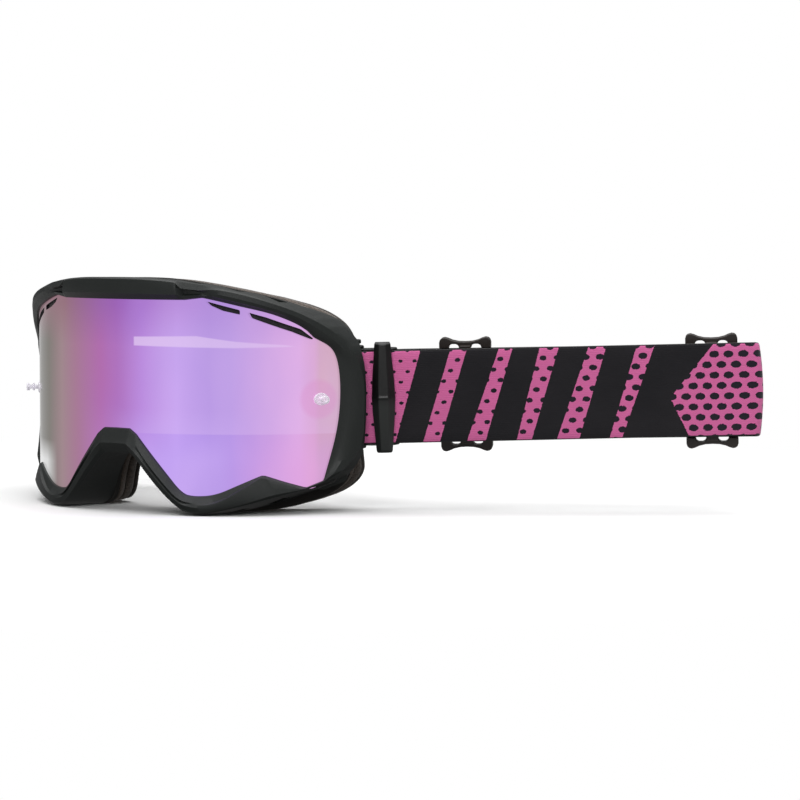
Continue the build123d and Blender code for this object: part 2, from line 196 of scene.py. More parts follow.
class Nodes:
    """Short calls for building the node tree of a new material or world."""

    def __init__(self, name, owners=bpy.data.materials):
        self.owner = owners.new(name)
        self.owner.use_nodes = True
        self.tree = self.owner.node_tree

    def add(self, kind, **values):
        node = self.tree.nodes.new(kind)
        for key, value in values.items():
            setattr(node, key, value)
        return node

    def link(self, source, target):
        self.tree.links.new(source, target)

    def put(self, socket, value):
        """Feeds a socket with a number, a colour or another socket."""
        if hasattr(value, "links"):
            self.link(value, socket)
        else:
            socket.default_value = value

    def object_place(self):
        return self.add("ShaderNodeTexCoord").outputs["Object"]

    def axes(self, vector=None):
        """The X, Y and Z of a place, by default the object's own."""
        split = self.add("ShaderNodeSeparateXYZ")
        self.link(vector or self.object_place(), split.inputs[0])
        return split.outputs

    def distance(self, point):
        """Metres from a fixed point."""
        node = self.add("ShaderNodeVectorMath", operation="DISTANCE")
        self.link(self.object_place(), node.inputs[0])
        node.inputs[1].default_value = point
        return node.outputs["Value"]

    def math(self, operation, *values):
        node = self.add("ShaderNodeMath", operation=operation)
        for socket, value in zip(node.inputs, values):
            self.put(socket, value)
        return node.outputs[0]

    def over(self, operation, values):
        """One operation carried through several values in turn."""
        return functools.reduce(lambda a, b: self.math(operation, a, b), values)

    def times(self, *values):
        return self.over("MULTIPLY", values)

    def mix(self, factor, a, b, blend="MIX"):
        node = self.add("ShaderNodeMix", data_type="RGBA", blend_type=blend)
        self.put(node.inputs[0], factor)
        self.put(node.inputs[6], a)
        self.put(node.inputs[7], b)
        return node.outputs[2]

    def tint(self, colour, new, *shares):
        """A colour moved towards a new one by the product of the shares."""
        return self.mix(self.times(*shares), colour, new)

    def ramp(self, factor, stops):
        node = self.add("ShaderNodeValToRGB")
        elements = node.color_ramp.elements
        while len(elements) < len(stops):
            elements.new(0.5)
        for element, (position, colour) in zip(elements, stops):
            element.position = position
            element.color = (*colour[:3], 1)
        self.put(node.inputs[0], factor)
        return node.outputs[0]

    def noise(self, scale, detail=3.0, rough=0.5, vector=None):
        node = self.add("ShaderNodeTexNoise")
        node.inputs["Scale"].default_value = scale
        node.inputs["Detail"].default_value = detail
        node.inputs["Roughness"].default_value = rough
        self.link(vector or self.object_place(), node.inputs["Vector"])
        return node.outputs["Fac"]

    def bands(self, direction, scale=2600):
        node = self.add("ShaderNodeTexWave", wave_type="BANDS", bands_direction=direction)
        node.inputs["Scale"].default_value = scale
        self.link(self.object_place(), node.inputs["Vector"])
        return node.outputs["Fac"]

    def span(self, value, low, high, out_low=0.0, out_high=1.0):
        node = self.add("ShaderNodeMapRange")
        for socket, number in zip(node.inputs, (value, low, high, out_low, out_high)):
            self.put(socket, number)
        return node.outputs[0]

    def bump(self, height, strength, distance):
        node = self.add("ShaderNodeBump")
        node.inputs["Strength"].default_value = strength
        node.inputs["Distance"].default_value = distance * MM
        self.put(node.inputs["Height"], height)
        return node.outputs[0]

    def edges(self, radius):
        """1 on convex and concave edges, 0 on flat areas."""
        rounded_normal = self.add("ShaderNodeBevel", samples=6)
        rounded_normal.inputs["Radius"].default_value = radius * MM
        dot = self.add("ShaderNodeVectorMath", operation="DOT_PRODUCT")
        self.link(rounded_normal.outputs[0], dot.inputs[0])
        self.link(self.add("ShaderNodeNewGeometry").outputs["Normal"], dot.inputs[1])
        return self.span(dot.outputs["Value"], 0.995, 0.9)

    def set(self, **values):
        """Principled inputs by name, with underscores for spaces."""
        for key, value in values.items():
            self.put(self.tree.nodes["Principled BSDF"].inputs[key.replace("_", " ")], value)
        return self.owner


def rgb(red, green, blue):
    """A linear colour from 0 to 255 display values."""
    made = []
    for value in (red, green, blue):
        v = value / 255
        made.append(v / 12.92 if v <= 0.04045 else ((v + 0.055) / 1.055) ** 2.4)
    return (*made, 1.0)


# ---------------------------------------------------------------- materials


def moulded(name, cloud, dark, light, rough, grain, edge_highlight=None, lower=None, **looks):
    """A moulded surface: two clouded colours, a lower half painted in another colour as light reflected from
    the floor, edges painted paler as highlights, and fine grain.

    Cloud is a noise scale and detail; rough is a number, or the two of a noise and the two ends of its span;
    grain is a noise and the strength and depth of its bump; edge_highlight, the painted edge highlight, is an
    edge radius, a share and a colour.
    """
    n = Nodes(name)
    colour = n.mix(n.noise(*cloud), rgb(*dark), rgb(*light))
    # Painted light: the lower half takes another colour, as light reflected from the floor.
    if lower:
        colour = n.tint(colour, rgb(*lower), n.span(n.axes()[2], 0.001, -0.004))
    # Painted highlights: the edges are tinted towards a paler colour.
    if edge_highlight:
        radius, share, pale = edge_highlight
        colour = n.tint(colour, rgb(*pale), n.edges(radius), share)
    if isinstance(rough, tuple):
        rough = n.span(n.noise(*rough[:2]), 0, 1, *rough[2:])
    bump = n.bump(n.noise(*grain[:2]), *grain[2:])
    return n.set(Base_Color=colour, Roughness=rough, Normal=bump, **looks)


def foam(name, dark, light, cell=1500.0, depth=0.22):
    """Open-cell foam: rounded pits of two sizes and a soft sheen."""
    n = Nodes(name)
    big = n.add("ShaderNodeTexVoronoi")
    big.inputs["Scale"].default_value = cell
    n.link(n.object_place(), big.inputs["Vector"])
    small = n.noise(cell * 2.2, 3, 0.6)
    height = n.math("ADD", big.outputs["Distance"], n.times(small, 0.6))
    colour = n.mix(n.span(height, 0.2, 1.1), dark, light)
    colour = n.tint(colour, dark, n.noise(70, 2), 0.4)
    bumped = n.bump(height, 0.7, depth)
    return n.set(Base_Color=colour, Roughness=0.95, Normal=bumped, Sheen_Weight=0.25, Sheen_Roughness=0.6)


def fleece_cloth():
    """Short-pile fleece against the skin."""
    n = Nodes("fleece_cloth")
    height = n.math("ADD", n.noise(4200, 4, 0.7), n.noise(900, 3, 0.6))
    colour = n.mix(n.span(height, 0.7, 1.3), rgb(40, 37, 35), rgb(90, 83, 77))
    pile = n.bump(height, 0.6, 0.3)
    return n.set(Base_Color=colour, Roughness=1.0, Normal=pile, Sheen_Weight=0.7, Sheen_Roughness=0.4)


# The mirror's colour at millimetres across the lens.
LENS_END = 84.0
LENS_COLOURS = [
    (-84, 150, 148, 148), (-60, 106, 104, 100), (-50, 110, 105, 98), (-37, 158, 132, 138),
    (-26, 168, 122, 150), (-9, 180, 111, 178), (3, 179, 118, 198), (13, 184, 132, 224),
    (29, 198, 160, 246), (42, 176, 142, 230), (50, 180, 146, 230), (62, 208, 162, 230),
    (72, 226, 172, 232), (76.2, 226, 168, 208), (77.5, 214, 166, 184), (84, 214, 172, 178),
]
# The pale painted reflection band's top and bottom edges: X across and Z up, on a field BAND_END wide and
# BAND_HIGH tall.
BAND_END = 80.0
BAND_HIGH = 40.0
BAND_TOP = ((9, 26.6), (37, 27.2), (51.5, 24.9), (68.5, 23.3), (72, 22.3))
BAND_BOTTOM = ((9, 22.4), (37, 21.9), (51.5, 21.7), (68.5, 22.1), (72, 22.3))
NEAR_POST = (0.0772, 0.0405, 0.0)


def reflection_band(n, across, up):
    """The pale painted reflection band's share, with a square far end and a pointed near end."""
    place = n.span(across, 0.0, BAND_END * MM)
    top, bottom = [n.ramp(place, [(x / BAND_END, (z / BAND_HIGH,) * 3) for x, z in line])
                   for line in (BAND_TOP, BAND_BOTTOM)]
    level = n.times(up, 1 / (BAND_HIGH * MM))
    under = n.span(n.math("SUBTRACT", top, level), 0.0, 0.012)
    over = n.span(n.math("SUBTRACT", level, bottom), 0.0, 0.012)
    square_end = n.span(across, 0.0088, 0.0094)
    return n.times(under, over, square_end, n.span(across, 0.020, 0.070, 0.62, 0.40))


def lens_mirror():
    """Mirror coating: from grey at the far side to magenta, lavender, pink and beige at the near side; the
    colours glow as a painted reflection.
    """
    n = Nodes("lens_mirror")
    across, _, up = n.axes()
    stops = [((x + LENS_END) / (2 * LENS_END), rgb(*c)) for x, *c in LENS_COLOURS]
    colour = n.ramp(n.span(across, -LENS_END * MM, LENS_END * MM), stops)
    # Painted reflection: cooler and bluer low down, and pinker low at the near side. Painted shade: deeper
    # purple under the brow.
    near_half = n.span(across, -0.004, 0.012)
    low = n.times(n.span(up, -0.004, -0.026), n.span(across, 0.072, 0.036), near_half)
    colour = n.tint(colour, rgb(208, 178, 255), low, 0.7)
    colour = n.tint(colour, rgb(236, 166, 228), n.span(up, -0.010, -0.030), n.span(across, 0.046, 0.072), 0.5)
    painted_brow_shade = n.mix(n.span(across, -0.034, 0.012), rgb(150, 110, 124), rgb(160, 94, 202))
    high = n.times(n.span(up, 0.022, 0.040), n.span(across, 0.045, 0.010, 0.45, 1.0))
    colour = n.tint(colour, painted_brow_shade, high, 0.8)
    # Painted reflections: soft upright cloud shapes, dark ones and bright ones.
    stretched = n.add("ShaderNodeMapping")
    stretched.inputs["Scale"].default_value = (1.0, 1.0, 0.45)
    n.link(n.object_place(), stretched.inputs["Vector"])
    beside_nose = n.span(across, -0.024, 0.010)
    dark = n.span(n.noise(42, 2, 0.5, stretched.outputs[0]), 0.40, 0.66)
    colour = n.tint(colour, rgb(160, 128, 220), dark, beside_nose, 0.20)
    bright = n.span(n.noise(30, 1, 0.4, stretched.outputs[0]), 0.52, 0.72)
    colour = n.tint(colour, rgb(232, 196, 246), bright, beside_nose, 0.22)
    # The pale painted reflection band.
    colour = n.tint(colour, rgb(238, 214, 252), reflection_band(n, across, up))
    # A painted reflection: a faint step in brightness below the band.
    step = n.times(n.span(up, -0.0149, -0.0145), n.span(up, -0.024, -0.0150), n.span(across, 0.0, 0.024))
    colour = n.tint(colour, rgb(236, 206, 250), step, 0.22)
    # Painted silver reflection along the limb and at the far lower corner.
    facing = n.add("ShaderNodeLayerWeight").outputs["Facing"]
    colour = n.tint(colour, rgb(206, 206, 206), n.span(facing, 0.90, 0.98, 0.0, 0.5))
    colour = n.tint(colour, rgb(212, 212, 212), n.span(across, -0.042, -0.053), n.span(up, -0.021, -0.030))
    # A pinker halo round the near post.
    halo = n.span(n.distance(NEAR_POST), 0.0092, 0.0072)
    colour = n.tint(colour, rgb(222, 146, 206), halo, 0.35)
    # The lens glows with its colours as a painted reflection, over a darker metallic copy of them.
    deep = n.mix(1.0, colour, (0.32, 0.32, 0.32, 1), "MULTIPLY")
    return n.set(Base_Color=deep, Metallic=0.85, Roughness=0.18, Coat_Weight=0.06, Coat_Roughness=0.08,
                 Emission_Color=colour, Emission_Strength=0.80)


def lens_back():
    """The smoky inside of the lens."""
    n = Nodes("lens_back")
    colour = n.mix(n.noise(30, 2), rgb(44, 38, 52), rgb(58, 48, 64))
    return n.set(Base_Color=colour, Metallic=0.3, Roughness=0.12, Coat_Weight=0.5)


def clear_plastic():
    """Clear moulded studs with a painted glow: faint all over, and brighter at their edges as a painted
    highlight.
    """
    n = Nodes("clear_plastic")
    streak = n.bump(n.noise(700, 2), 0.1, 0.05)
    # Painted highlight: the studs glow faintly, and more at their edges.
    glow = n.span(n.edges(0.3), 0.0, 1.0, 0.10, 0.55)
    return n.set(Base_Color=rgb(240, 238, 244), Roughness=0.08, Transmission_Weight=0.45, IOR=1.5,
                 Normal=streak, Emission_Color=rgb(236, 230, 242), Emission_Strength=glow)


def pin_steel():
    """Bright steel with fine turning rings."""
    n = Nodes("pin_steel")
    colour = n.mix(n.noise(300, 2), rgb(150, 152, 156), rgb(190, 192, 196))
    return n.set(Base_Color=colour, Metallic=1.0, Roughness=0.32, Normal=n.bump(n.bands("Z"), 0.2, 0.03))


def thread():
    """Twisted black thread."""
    n = Nodes("thread")
    twist = n.bands("DIAGONAL")
    colour = n.mix(twist, rgb(20, 20, 22), rgb(60, 60, 62))
    return n.set(Base_Color=colour, Roughness=0.7, Normal=n.bump(twist, 0.5, 0.1))


# Printed shards, in millimetres along the strap from the hinge and up from its centre line. The slashes are
# given by the ends of their top edge, then of their bottom edge.
SLASHES = [
    (1.5, 27.0, 15.3, 1.5), (39.8, 46.8, 34.4, 27.2), (60.6, 66.4, 54.0, 46.0), (78.0, 86.2, 73.8, 67.4),
    (99.0, 106.6, 94.2, 84.6), (119.6, 127.2, 112.6, 107.2),
]
FOLD_PANEL = [(152.5, 20), (190, 20), (190, -20), (141.5, -20), (133.5, -3.0)]
SHARDS = [[(a, 20), (b, 20), (c, -20), (d, -20)] for a, b, c, d in SLASHES] + [FOLD_PANEL]
RIB_PITCH = 0.62
ROW_PITCH = 0.78
DOT_PITCH_U = 6.1
DOT_PITCH_V = 9.0
DOT_SQUASH = 1.4
SELVEDGE = 19.6


def inside_polygon(n, u, v, points):
    """1 inside a polygon, by counting how many of its edges a line to the right crosses."""
    hits = []
    for (x0, y0), (x1, y1) in zip(points, points[1:] + points[:1]):
        if y0 == y1:
            continue
        spans = n.math("SUBTRACT", n.math("GREATER_THAN", v, y0), n.math("GREATER_THAN", v, y1))
        slope = (x1 - x0) / (y1 - y0)
        crossing = n.math("MULTIPLY_ADD", v, slope, x0 - y0 * slope)
        hits.append(n.times(n.math("ABSOLUTE", spans), n.math("LESS_THAN", u, crossing)))
    return n.math("MODULO", n.over("ADD", hits), 2.0)


def from_middle(n, value, pitch, shift):
    """A value's place from -0.5 to 0.5 in a repeating cell."""
    return n.math("SUBTRACT", n.math("FRACT", n.math("ADD", n.math("DIVIDE", value, pitch), shift)), 0.5)


def print_dots(n, u, v, way_along):
    """1 inside staggered oval dots, which grow towards the fold."""
    size = n.span(way_along, 20, 140, 0.95, 2.1)
    dots = []
    for shift in (100.0, 100.5):
        du = n.times(from_middle(n, u, DOT_PITCH_U, shift), DOT_PITCH_U)
        dv = n.times(from_middle(n, v, DOT_PITCH_V, shift + 0.3), DOT_PITCH_V * DOT_SQUASH)
        gap = n.math("SQRT", n.math("ADD", n.times(du, du), n.times(dv, dv)))
        dots.append(n.math("LESS_THAN", gap, size))
    return n.over("MAXIMUM", dots)


def strap_cloth(name, printed):
    """Elastic webbing: ribbed weave, and pink shards with dark dots that grow towards the fold."""
    n = Nodes(name)
    uv = n.add("ShaderNodeUVMap", uv_map="strap").outputs[0]
    way_along, way_up, _ = n.axes(uv)
    rib = n.math("SINE", n.times(way_along, 2 * math.pi / RIB_PITCH))
    row = n.math("SINE", n.times(way_up, 2 * math.pi / ROW_PITCH))
    weave = n.times(rib, row)
    height = n.math("ADD", n.times(row, 0.6), n.times(weave, 0.5))
    shade = n.span(weave, -1, 1)
    colour = n.mix(shade, rgb(11, 11, 15), rgb(24, 24, 29))
    if printed:
        # The print's edges wobble a little, as ink on ribbed cloth does.
        jitter = n.times(n.math("SUBTRACT", n.noise(1.4, 2, 0.5, uv), 0.5), 0.9)
        u, v = n.math("ADD", way_along, jitter), n.math("ADD", way_up, jitter)
        inside = n.over("MAXIMUM", [inside_polygon(n, u, v, shard) for shard in SHARDS])
        pink = n.mix(shade, rgb(212, 84, 150), rgb(240, 130, 188))
        pink = n.mix(print_dots(n, u, v, way_along), pink, rgb(22, 18, 32))
        colour = n.mix(inside, colour, pink)
    edge = n.math("GREATER_THAN", n.math("ABSOLUTE", way_up), SELVEDGE)
    colour = n.tint(colour, rgb(16, 16, 18), edge)
    colour = n.tint(colour, rgb(120, 112, 116), n.noise(40), 0.08)
    return n.set(Base_Color=colour, Roughness=0.88, Normal=n.bump(height, 0.5, 0.12), Sheen_Weight=0.25,
                 Sheen_Roughness=0.5, Specular_IOR_Level=0.2)


MAT = {
    # Painted light in the plastics: their pale edge colours are painted highlights, and the outrigger's last
    # colour paints its lower half as light reflected from the floor.
    "plastic": moulded("frame_plastic", (60, 3), (27, 30, 30), (36, 40, 38), (900, 2, 0.40, 0.56),
                       (5200, 2, 0.18, 0.05), (0.4, 0.25, (84, 88, 84)), Specular_IOR_Level=0.4),
    "rubber": moulded("soft_rubber", (90, 3), (30, 29, 27), (44, 42, 39), 0.72, (3800, 3, 0.3, 0.06),
                      Specular_IOR_Level=0.35),
    "foam_dark": foam("foam_dark", rgb(50, 44, 39), rgb(118, 104, 93)),
    "foam_soft": foam("foam_soft", rgb(46, 41, 37), rgb(108, 96, 87), 1200.0, 0.26),
    "filter": foam("filter_foam", rgb(14, 14, 14), rgb(46, 46, 46), 520.0, 0.6),
    "fleece": fleece_cloth(),
    "mirror": lens_mirror(),
    "lens_back": lens_back(),
    "clear": clear_plastic(),
    "outrigger": moulded("outrigger_plastic", (80, 3), (6, 7, 7), (11, 12, 12), (700, 2, 0.3, 0.46),
                         (4200, 2, 0.12, 0.04), (0.4, 0.2, (74, 78, 76)), (34, 37, 36)),
    "slider": moulded("slider_plastic", (120, 3), (30, 24, 22), (48, 39, 35), (500, 3, 0.26, 0.44),
                      (3800, 2, 0.1, 0.04), (0.5, 0.5, (98, 88, 80))),
    "steel": pin_steel(),
    "silicone": moulded("silicone", (200, 2), (24, 24, 26), (40, 40, 42), 0.22, (900, 2, 0.2, 0.05),
                        Coat_Weight=0.5),
    "thread": thread(),
    "strap_print": strap_cloth("strap_print", True),
    "strap_plain": strap_cloth("strap_plain", False),
}


# ---------------------------------------------------------------- frame shell

# Front profiles from the lens edge (0) to the outer edge (1): share of the width, height over the lens.
# They all start with the lip at the lens edge.
LIP = (0, 0.12)
PLATE = [(.02, 1.7), (.28, 3.9), (.45, 4.0), (.7, 4.0), (.93, 3.7), (1, 2.8)]
PLATE_END = [(.02, 1.7), (.30, 3.8), (.46, 4.0), (.7, 4.0), (.93, 3.7), (1, 2.8)]
RECESS = [(.05, 1.3), (.24, 1.8), (.34, 0.2), (.60, 0.6), (.66, 3.9), (1, 2.8)]
RECESS_OUT = [(.05, 1.3), (.22, 2.2), (.34, 1.8), (.44, 2.0), (.60, 3.6), (1, 2.6)]
BROW = [(.06, 1.3), (.26, 2.3), (.34, 3.1), (.60, 3.7), (.93, 3.5), (1, 2.5)]
CORNER = [(.04, 1.0), (.20, 1.7), (.40, 2.4), (.65, 2.9), (.92, 2.5), (1, 1.4)]
SIDE = [(.05, .9), (.22, 1.3), (.42, 2.0), (.64, 2.8), (.88, 3.6), (1, 3.7)]
SIDE_LOW = [(.05, .9), (.2, 1.2), (.36, 1.7), (.62, 2.7), (.86, 3.0), (1, 3.1)]
JAW = [(.1, .6), (.25, .9), (.4, 1.1), (.6, 1.2), (.85, 1.2), (1, 1.0)]
JAW_IN = [(.1, .6), (.25, .9), (.4, 1.2), (.6, 1.4), (.85, 1.4), (1, 1.2)]
PEAK = [(.02, .8), (.05, 1.2), (.09, 1.6), (.60, 2.6), (.90, 3.0), (1, 2.4)]
CHEEK = [(.03, .9), (.24, 2.0), (.34, 3.3), (.74, 3.6), (.94, 3.4), (1, 2.6)]
CHEEK_IN = [(.03, .9), (.46, 2.6), (.56, 3.6), (.80, 3.9), (.94, 3.6), (1, 2.8)]
TOE = [(.04, 1.0), (.36, 3.0), (.46, 3.5), (.60, 3.8), (.92, 3.6), (1, 2.4)]
LEG = [(.04, 1.2), (.34, 3.3), (.44, 2.1), (.54, 3.3), (.84, 2.9), (1, .8)]
NOSE_BEND = [(.03, 1.0), (.30, 2.2), (.46, 2.7), (.60, 3.2), (.84, 2.2), (1, .2)]
NOSE = [(.03, .9), (.30, 2.0), (.50, 2.8), (.60, 3.3), (.80, 2.2), (1, .2)]

# Stations round the right half, top centre to nose: lens-edge x, z, front rim x, z, rear edge x, z, profile,
# keeps its corner.
STATIONS = [
    (0, 42.2, 0, 51.6, 0, 50.2, PLATE, 0),
    (15, 42.2, 14, 51.6, 14, 50.0, PLATE, 0),
    (27, 42.2, 26, 50.8, 26, 48.6, PLATE, 0),
    (31.2, 42.2, 30.4, 50.2, 30.4, 47.8, PLATE_END, 1),
    (32.6, 42.2, 33.4, 49.8, 33.4, 47.2, RECESS, 1),
    (39.6, 43.1, 41.4, 48.6, 41.4, 45.7, RECESS_OUT, 1),
    (45, 41.9, 47.4, 47.2, 47, 44.4, BROW, 0),
    (54, 39.4, 57.4, 44.8, 57.0, 41.9, BROW, 0),
    (64, 36.5, 66.6, 41.2, 66.2, 38.6, BROW, 0),
    (71.6, 32.2, 73.2, 37.6, 73.0, 35.2, CORNER, 0),
    (74.6, 29.0, 78.2, 33.8, 76.2, 32.4, CORNER, 1),
    (76.4, 26.0, 81.6, 30.6, 78.4, 28.8, CORNER, 1),
    (80.2, 22.8, 85.6, 25.0, 80.0, 24.0, CORNER, 0),
    (81.6, 19.2, 87.8, 19.6, 80.6, 19.0, SIDE, 0),
    (82.4, 13.0, 89.4, 13.4, 80.8, 13.0, SIDE, 0),
    (82.7, 4.0, 90.1, 4.0, 80.8, 4.0, SIDE, 0),
    (82.4, -7.0, 90.0, -7.6, 80.8, -7.0, SIDE, 0),
    (81.4, -17.0, 89.4, -17.0, 80.6, -17.0, SIDE_LOW, 0),
    (80.0, -26.0, 88.0, -24.4, 80.0, -24.6, SIDE_LOW, 0),
    (78.9, -33.2, 85.0, -30.6, 79.4, -30.4, SIDE_LOW, 1),
    (78.5, -34.7, 79.4, -35.4, 77.4, -34.6, JAW, 1),
    (73.9, -37.5, 74.4, -38.2, 72.4, -38.2, JAW_IN, 1),
    (61.0, -31.8, 65.8, -41.4, 64.6, -42.0, PEAK, 1),
    (53.0, -36.0, 56.8, -44.4, 55.4, -45.8, CHEEK, 0),
    (44.5, -40.4, 46.6, -47.3, 46.0, -48.4, CHEEK_IN, 0),
    (36.0, -41.1, 39.4, -48.6, 37.0, -49.2, TOE, 0),
    (31.0, -39.8, 31.6, -47.6, 27.0, -48.9, LEG, 0),
    (24.0, -31.2, 24.6, -41.8, 21.0, -44.6, LEG, 0),
    (15.6, -21.4, 17.6, -34.2, 17.2, -34.0, LEG, 0),
    (10.3, -15.2, 11.2, -27.2, 11.2, -25.6, NOSE_BEND, 1),
    (7.0, -12.8, 7.2, -23.6, 7.2, -22.8, NOSE, 1),
    (0, -12.7, 0, -23.2, 0, -22.4, NOSE, 0),
]
POCKET_HALF = 22.8
POCKET_Y = 58.0
FRAME_REAR = 17.1
FACE_R = 95.0
FACE_DEPTH = 38.0
POCKET_INSIDE = ((79.0, POCKET_Y + 0.3), (77.2, 54.5))
WALL_THICK = 2.2
# Vents: their size, their Z, and the X and Y of each one's middle on the left.
ROOF_VENTS = ((11, 6, 22), 50, ((14, 11.5), (30, 14.5), (46, 21.5), (60, 31.0)))
SILL_VENTS = ((9, 6, 14), -46, ((46, 25.0), (60, 35.0)))


def face_y(x, depth=0.0):
    """The face surface's Y at an X, moved forwards by a depth."""
    return FACE_DEPTH + FACE_R - math.sqrt(max(FACE_R ** 2 - x * x, 0)) - depth


def cut_corners(stations, rounds=3):
    """Chaikin rounding of the half outline, keeping the flagged corners and both ends."""
    for _ in range(rounds):
        made = [stations[0]]
        for before, (a, hard), after in zip(stations, stations[1:-1], stations[2:]):
            reach = 0.06 if hard else 0.25
            for near in (before, after):
                made.append(([lerp(p, q, reach) for p, q in zip(a, near[0])], hard))
        stations = made + [stations[-1]]
    return stations


def frame_section(values):
    """One closed cross-section of the frame, as 3-D points, from a station's numbers."""
    xi, zi, xo, zo, xr, zr = values[:6]
    ring = [on_lens(lerp(xi, xo, t), lerp(zi, zo, t), h) for t, h in zip(values[6::2], values[7::2])]
    ox, oz = (Vector((xo, zo)) - Vector((xi, zi))).normalized()
    y_rim = ring[-1][1]
    if abs(zo) < POCKET_HALF + 0.4 and xo > 80:
        # The side pocket, where the outrigger turns: the wall ends short there, in front of the hinge.
        ring += [(xo - 0.1, max(y_rim + 0.3, POCKET_Y - 0.5), zo), (xo - 0.8, POCKET_Y + 0.3, zo)]
        return ring + [(x, y, zo) for x, y in POCKET_INSIDE] + [on_lens(xi - WALL_THICK, zi, -2.6)]
    y_rear = face_y(xr, FRAME_REAR)
    reach = 0.35 if xo < 76 else 0.12
    ring += [(lerp(xo, xr, reach) + 0.3 * ox, lerp(y_rim, y_rear, 0.5), lerp(zo, zr, reach) + 0.3 * oz)]
    tx, tz = WALL_THICK * ox, WALL_THICK * oz
    ring += [(xr, y_rear, zr), (xr - tx, y_rear, zr - tz)]
    return ring + [on_lens(xi + tx, zi + tz, -4.8), on_lens(xi - 0.2 * ox, zi - 0.2 * oz, -4.6)]


def half_sections(rounds=3):
    """The half outline's stations as rounded lists of numbers."""
    flat = []
    for *numbers, profile, hard in STATIONS:
        for t, h in [LIP] + profile:
            numbers += [t, h]
        flat.append((numbers, hard))
    return [v for v, _ in cut_corners(flat, rounds)]


def vent_cutter():
    """Boxes that cut the vents on both sides."""
    bm = bmesh.new()
    for size, z, places in (ROOF_VENTS, SILL_VENTS):
        scale = Matrix.Diagonal(Vector((*[s * MM for s in size], 1)))
        for x, y in places:
            for side in (1, -1):
                place = Matrix.Translation(Vector((x * side, y, z)) * MM)
                bmesh.ops.create_cube(bm, size=1.0, matrix=place @ scale)
    mesh = bpy.data.meshes.new("cutter")
    bm.to_mesh(mesh)
    bm.free()
    return link("cutter", mesh)


def build_frame():
    """The frame's shell, swept round both halves, with its vents cut."""
    half = [frame_section(v) for v in half_sections()]
    rings = mirrored_loop(half, lambda ring: [(-x, y, z) for x, y, z in ring])
    verts = [p for ring in rings for p in ring]
    obj = new_object("frame_shell", verts, side_faces(len(rings), len(rings[0]), True), MAT["plastic"])
    fix_normals(obj)
    tool = vent_cutter()
    cut = obj.modifiers.new("vents", "BOOLEAN")
    cut.operation, cut.solver, cut.object = "DIFFERENCE", "EXACT", tool
    apply_modifiers(obj)
    bpy.data.objects.remove(tool)
    smooth_by_angle(obj, 24)
    bevel(obj, 0.3, 2, 24)
    fit(obj, "goggles", "frame_shell", "frame")


build_frame()


# ---------------------------------------------------------------- lens

LENS_TUCK = 0.9
SLOTS = [
    [(40.5, 41.9), (53.4, 38.0), (53.4, 35.9), (46.6, 37.7), (42.2, 39.9)],
    [(55.8, 37.2), (62.4, 34.8), (72.4, 29.9), (76.0, 25.6), (74.7, 25.3), (69.2, 28.7), (56.8, 34.6)],
]


def rounded(points, radius, steps=3):
    """A closed outline with each corner replaced by a short curve."""
    made = []
    count = len(points)
    for i in range(count):
        p, a, b = Vector(points[i]), Vector(points[i - 1]), Vector(points[(i + 1) % count])
        r = min(radius, (a - p).length * 0.45, (b - p).length * 0.45)
        start, end = p + (a - p).normalized() * r, p + (b - p).normalized() * r
        for k in range(steps + 1):
            t = k / steps
            made.append(tuple(start * (1 - t) ** 2 + p * 2 * t * (1 - t) + end * t * t))
    return made


def lens_outline():
    """The lens's edge, just under the frame's lip."""
    half = []
    for xi, zi, xo, zo, *_ in half_sections():
        length = math.hypot(xo - xi, zo - zi)
        half.append((xi + LENS_TUCK * (xo - xi) / length, zi + LENS_TUCK * (zo - zi) / length))
    return mirrored_loop(half, lambda p: (-p[0], p[1]))


def flat_sheet(loops, step=1.2, reach=90.0):
    """A filled front-view sheet, cut into narrow upright strips so that it can bend."""
    bm = bmesh.new()
    for loop in loops:
        verts = [bm.verts.new((x, 0, z)) for x, z in loop]
        for a, b in zip(verts, verts[1:] + verts[:1]):
            bm.edges.new((a, b))
    bmesh.ops.triangle_fill(bm, use_beauty=True, use_dissolve=False, edges=bm.edges[:])
    x = -reach
    while x < reach:
        geom = bm.verts[:] + bm.edges[:] + bm.faces[:]
        bmesh.ops.bisect_plane(bm, geom=geom, dist=1e-5, plane_co=(x, 0, 0), plane_no=(1, 0, 0))
        # Strips narrow towards the sides, where the cylinder turns away faster.
        x += step * math.sqrt(max(1 - (x / LENS_R) ** 2, 0.05))
    return bm


def build_lens():
    """The curved lens: mirror front, smoky back and a plain rim."""
    loops = [lens_outline()]
    for slot in SLOTS:
        loops.append(rounded(slot, 0.6))
        loops.append([(-x, z) for x, z in loops[-1]])
    bm = flat_sheet(loops)
    bm.verts.index_update()
    flat = [v.co.copy() for v in bm.verts]
    faces = [[v.index for v in f.verts] for f in bm.faces]
    rim = [[v.index for v in e.verts] for e in bm.edges if len(e.link_faces) == 1]
    bm.free()
    count = len(flat)
    verts = [on_lens(c.x, c.z, height) for height in (0, -LENS_THICK) for c in flat]
    all_faces = faces + [[i + count for i in reversed(f)] for f in faces]
    all_faces += [[a, b, b + count, a + count] for a, b in rim]
    obj = new_object("lens_sheet", verts, all_faces, MAT["mirror"])
    obj.data.materials.append(MAT["lens_back"])
    fix_normals(obj)
    for polygon in obj.data.polygons:
        outwards = Vector((polygon.center.x, polygon.center.y - LENS_R * MM, 0)).dot(polygon.normal)
        polygon.material_index = 0 if outwards > 0.025 * LENS_R * MM else 1
    smooth_by_angle(obj, 40)
    fit(obj, "goggles", "lens_film", "lens")


build_lens()


# ---------------------------------------------------------------- strap


def heading(angle):
    """The plan direction at an angle from +X."""
    return Vector((math.cos(angle), math.sin(angle)))


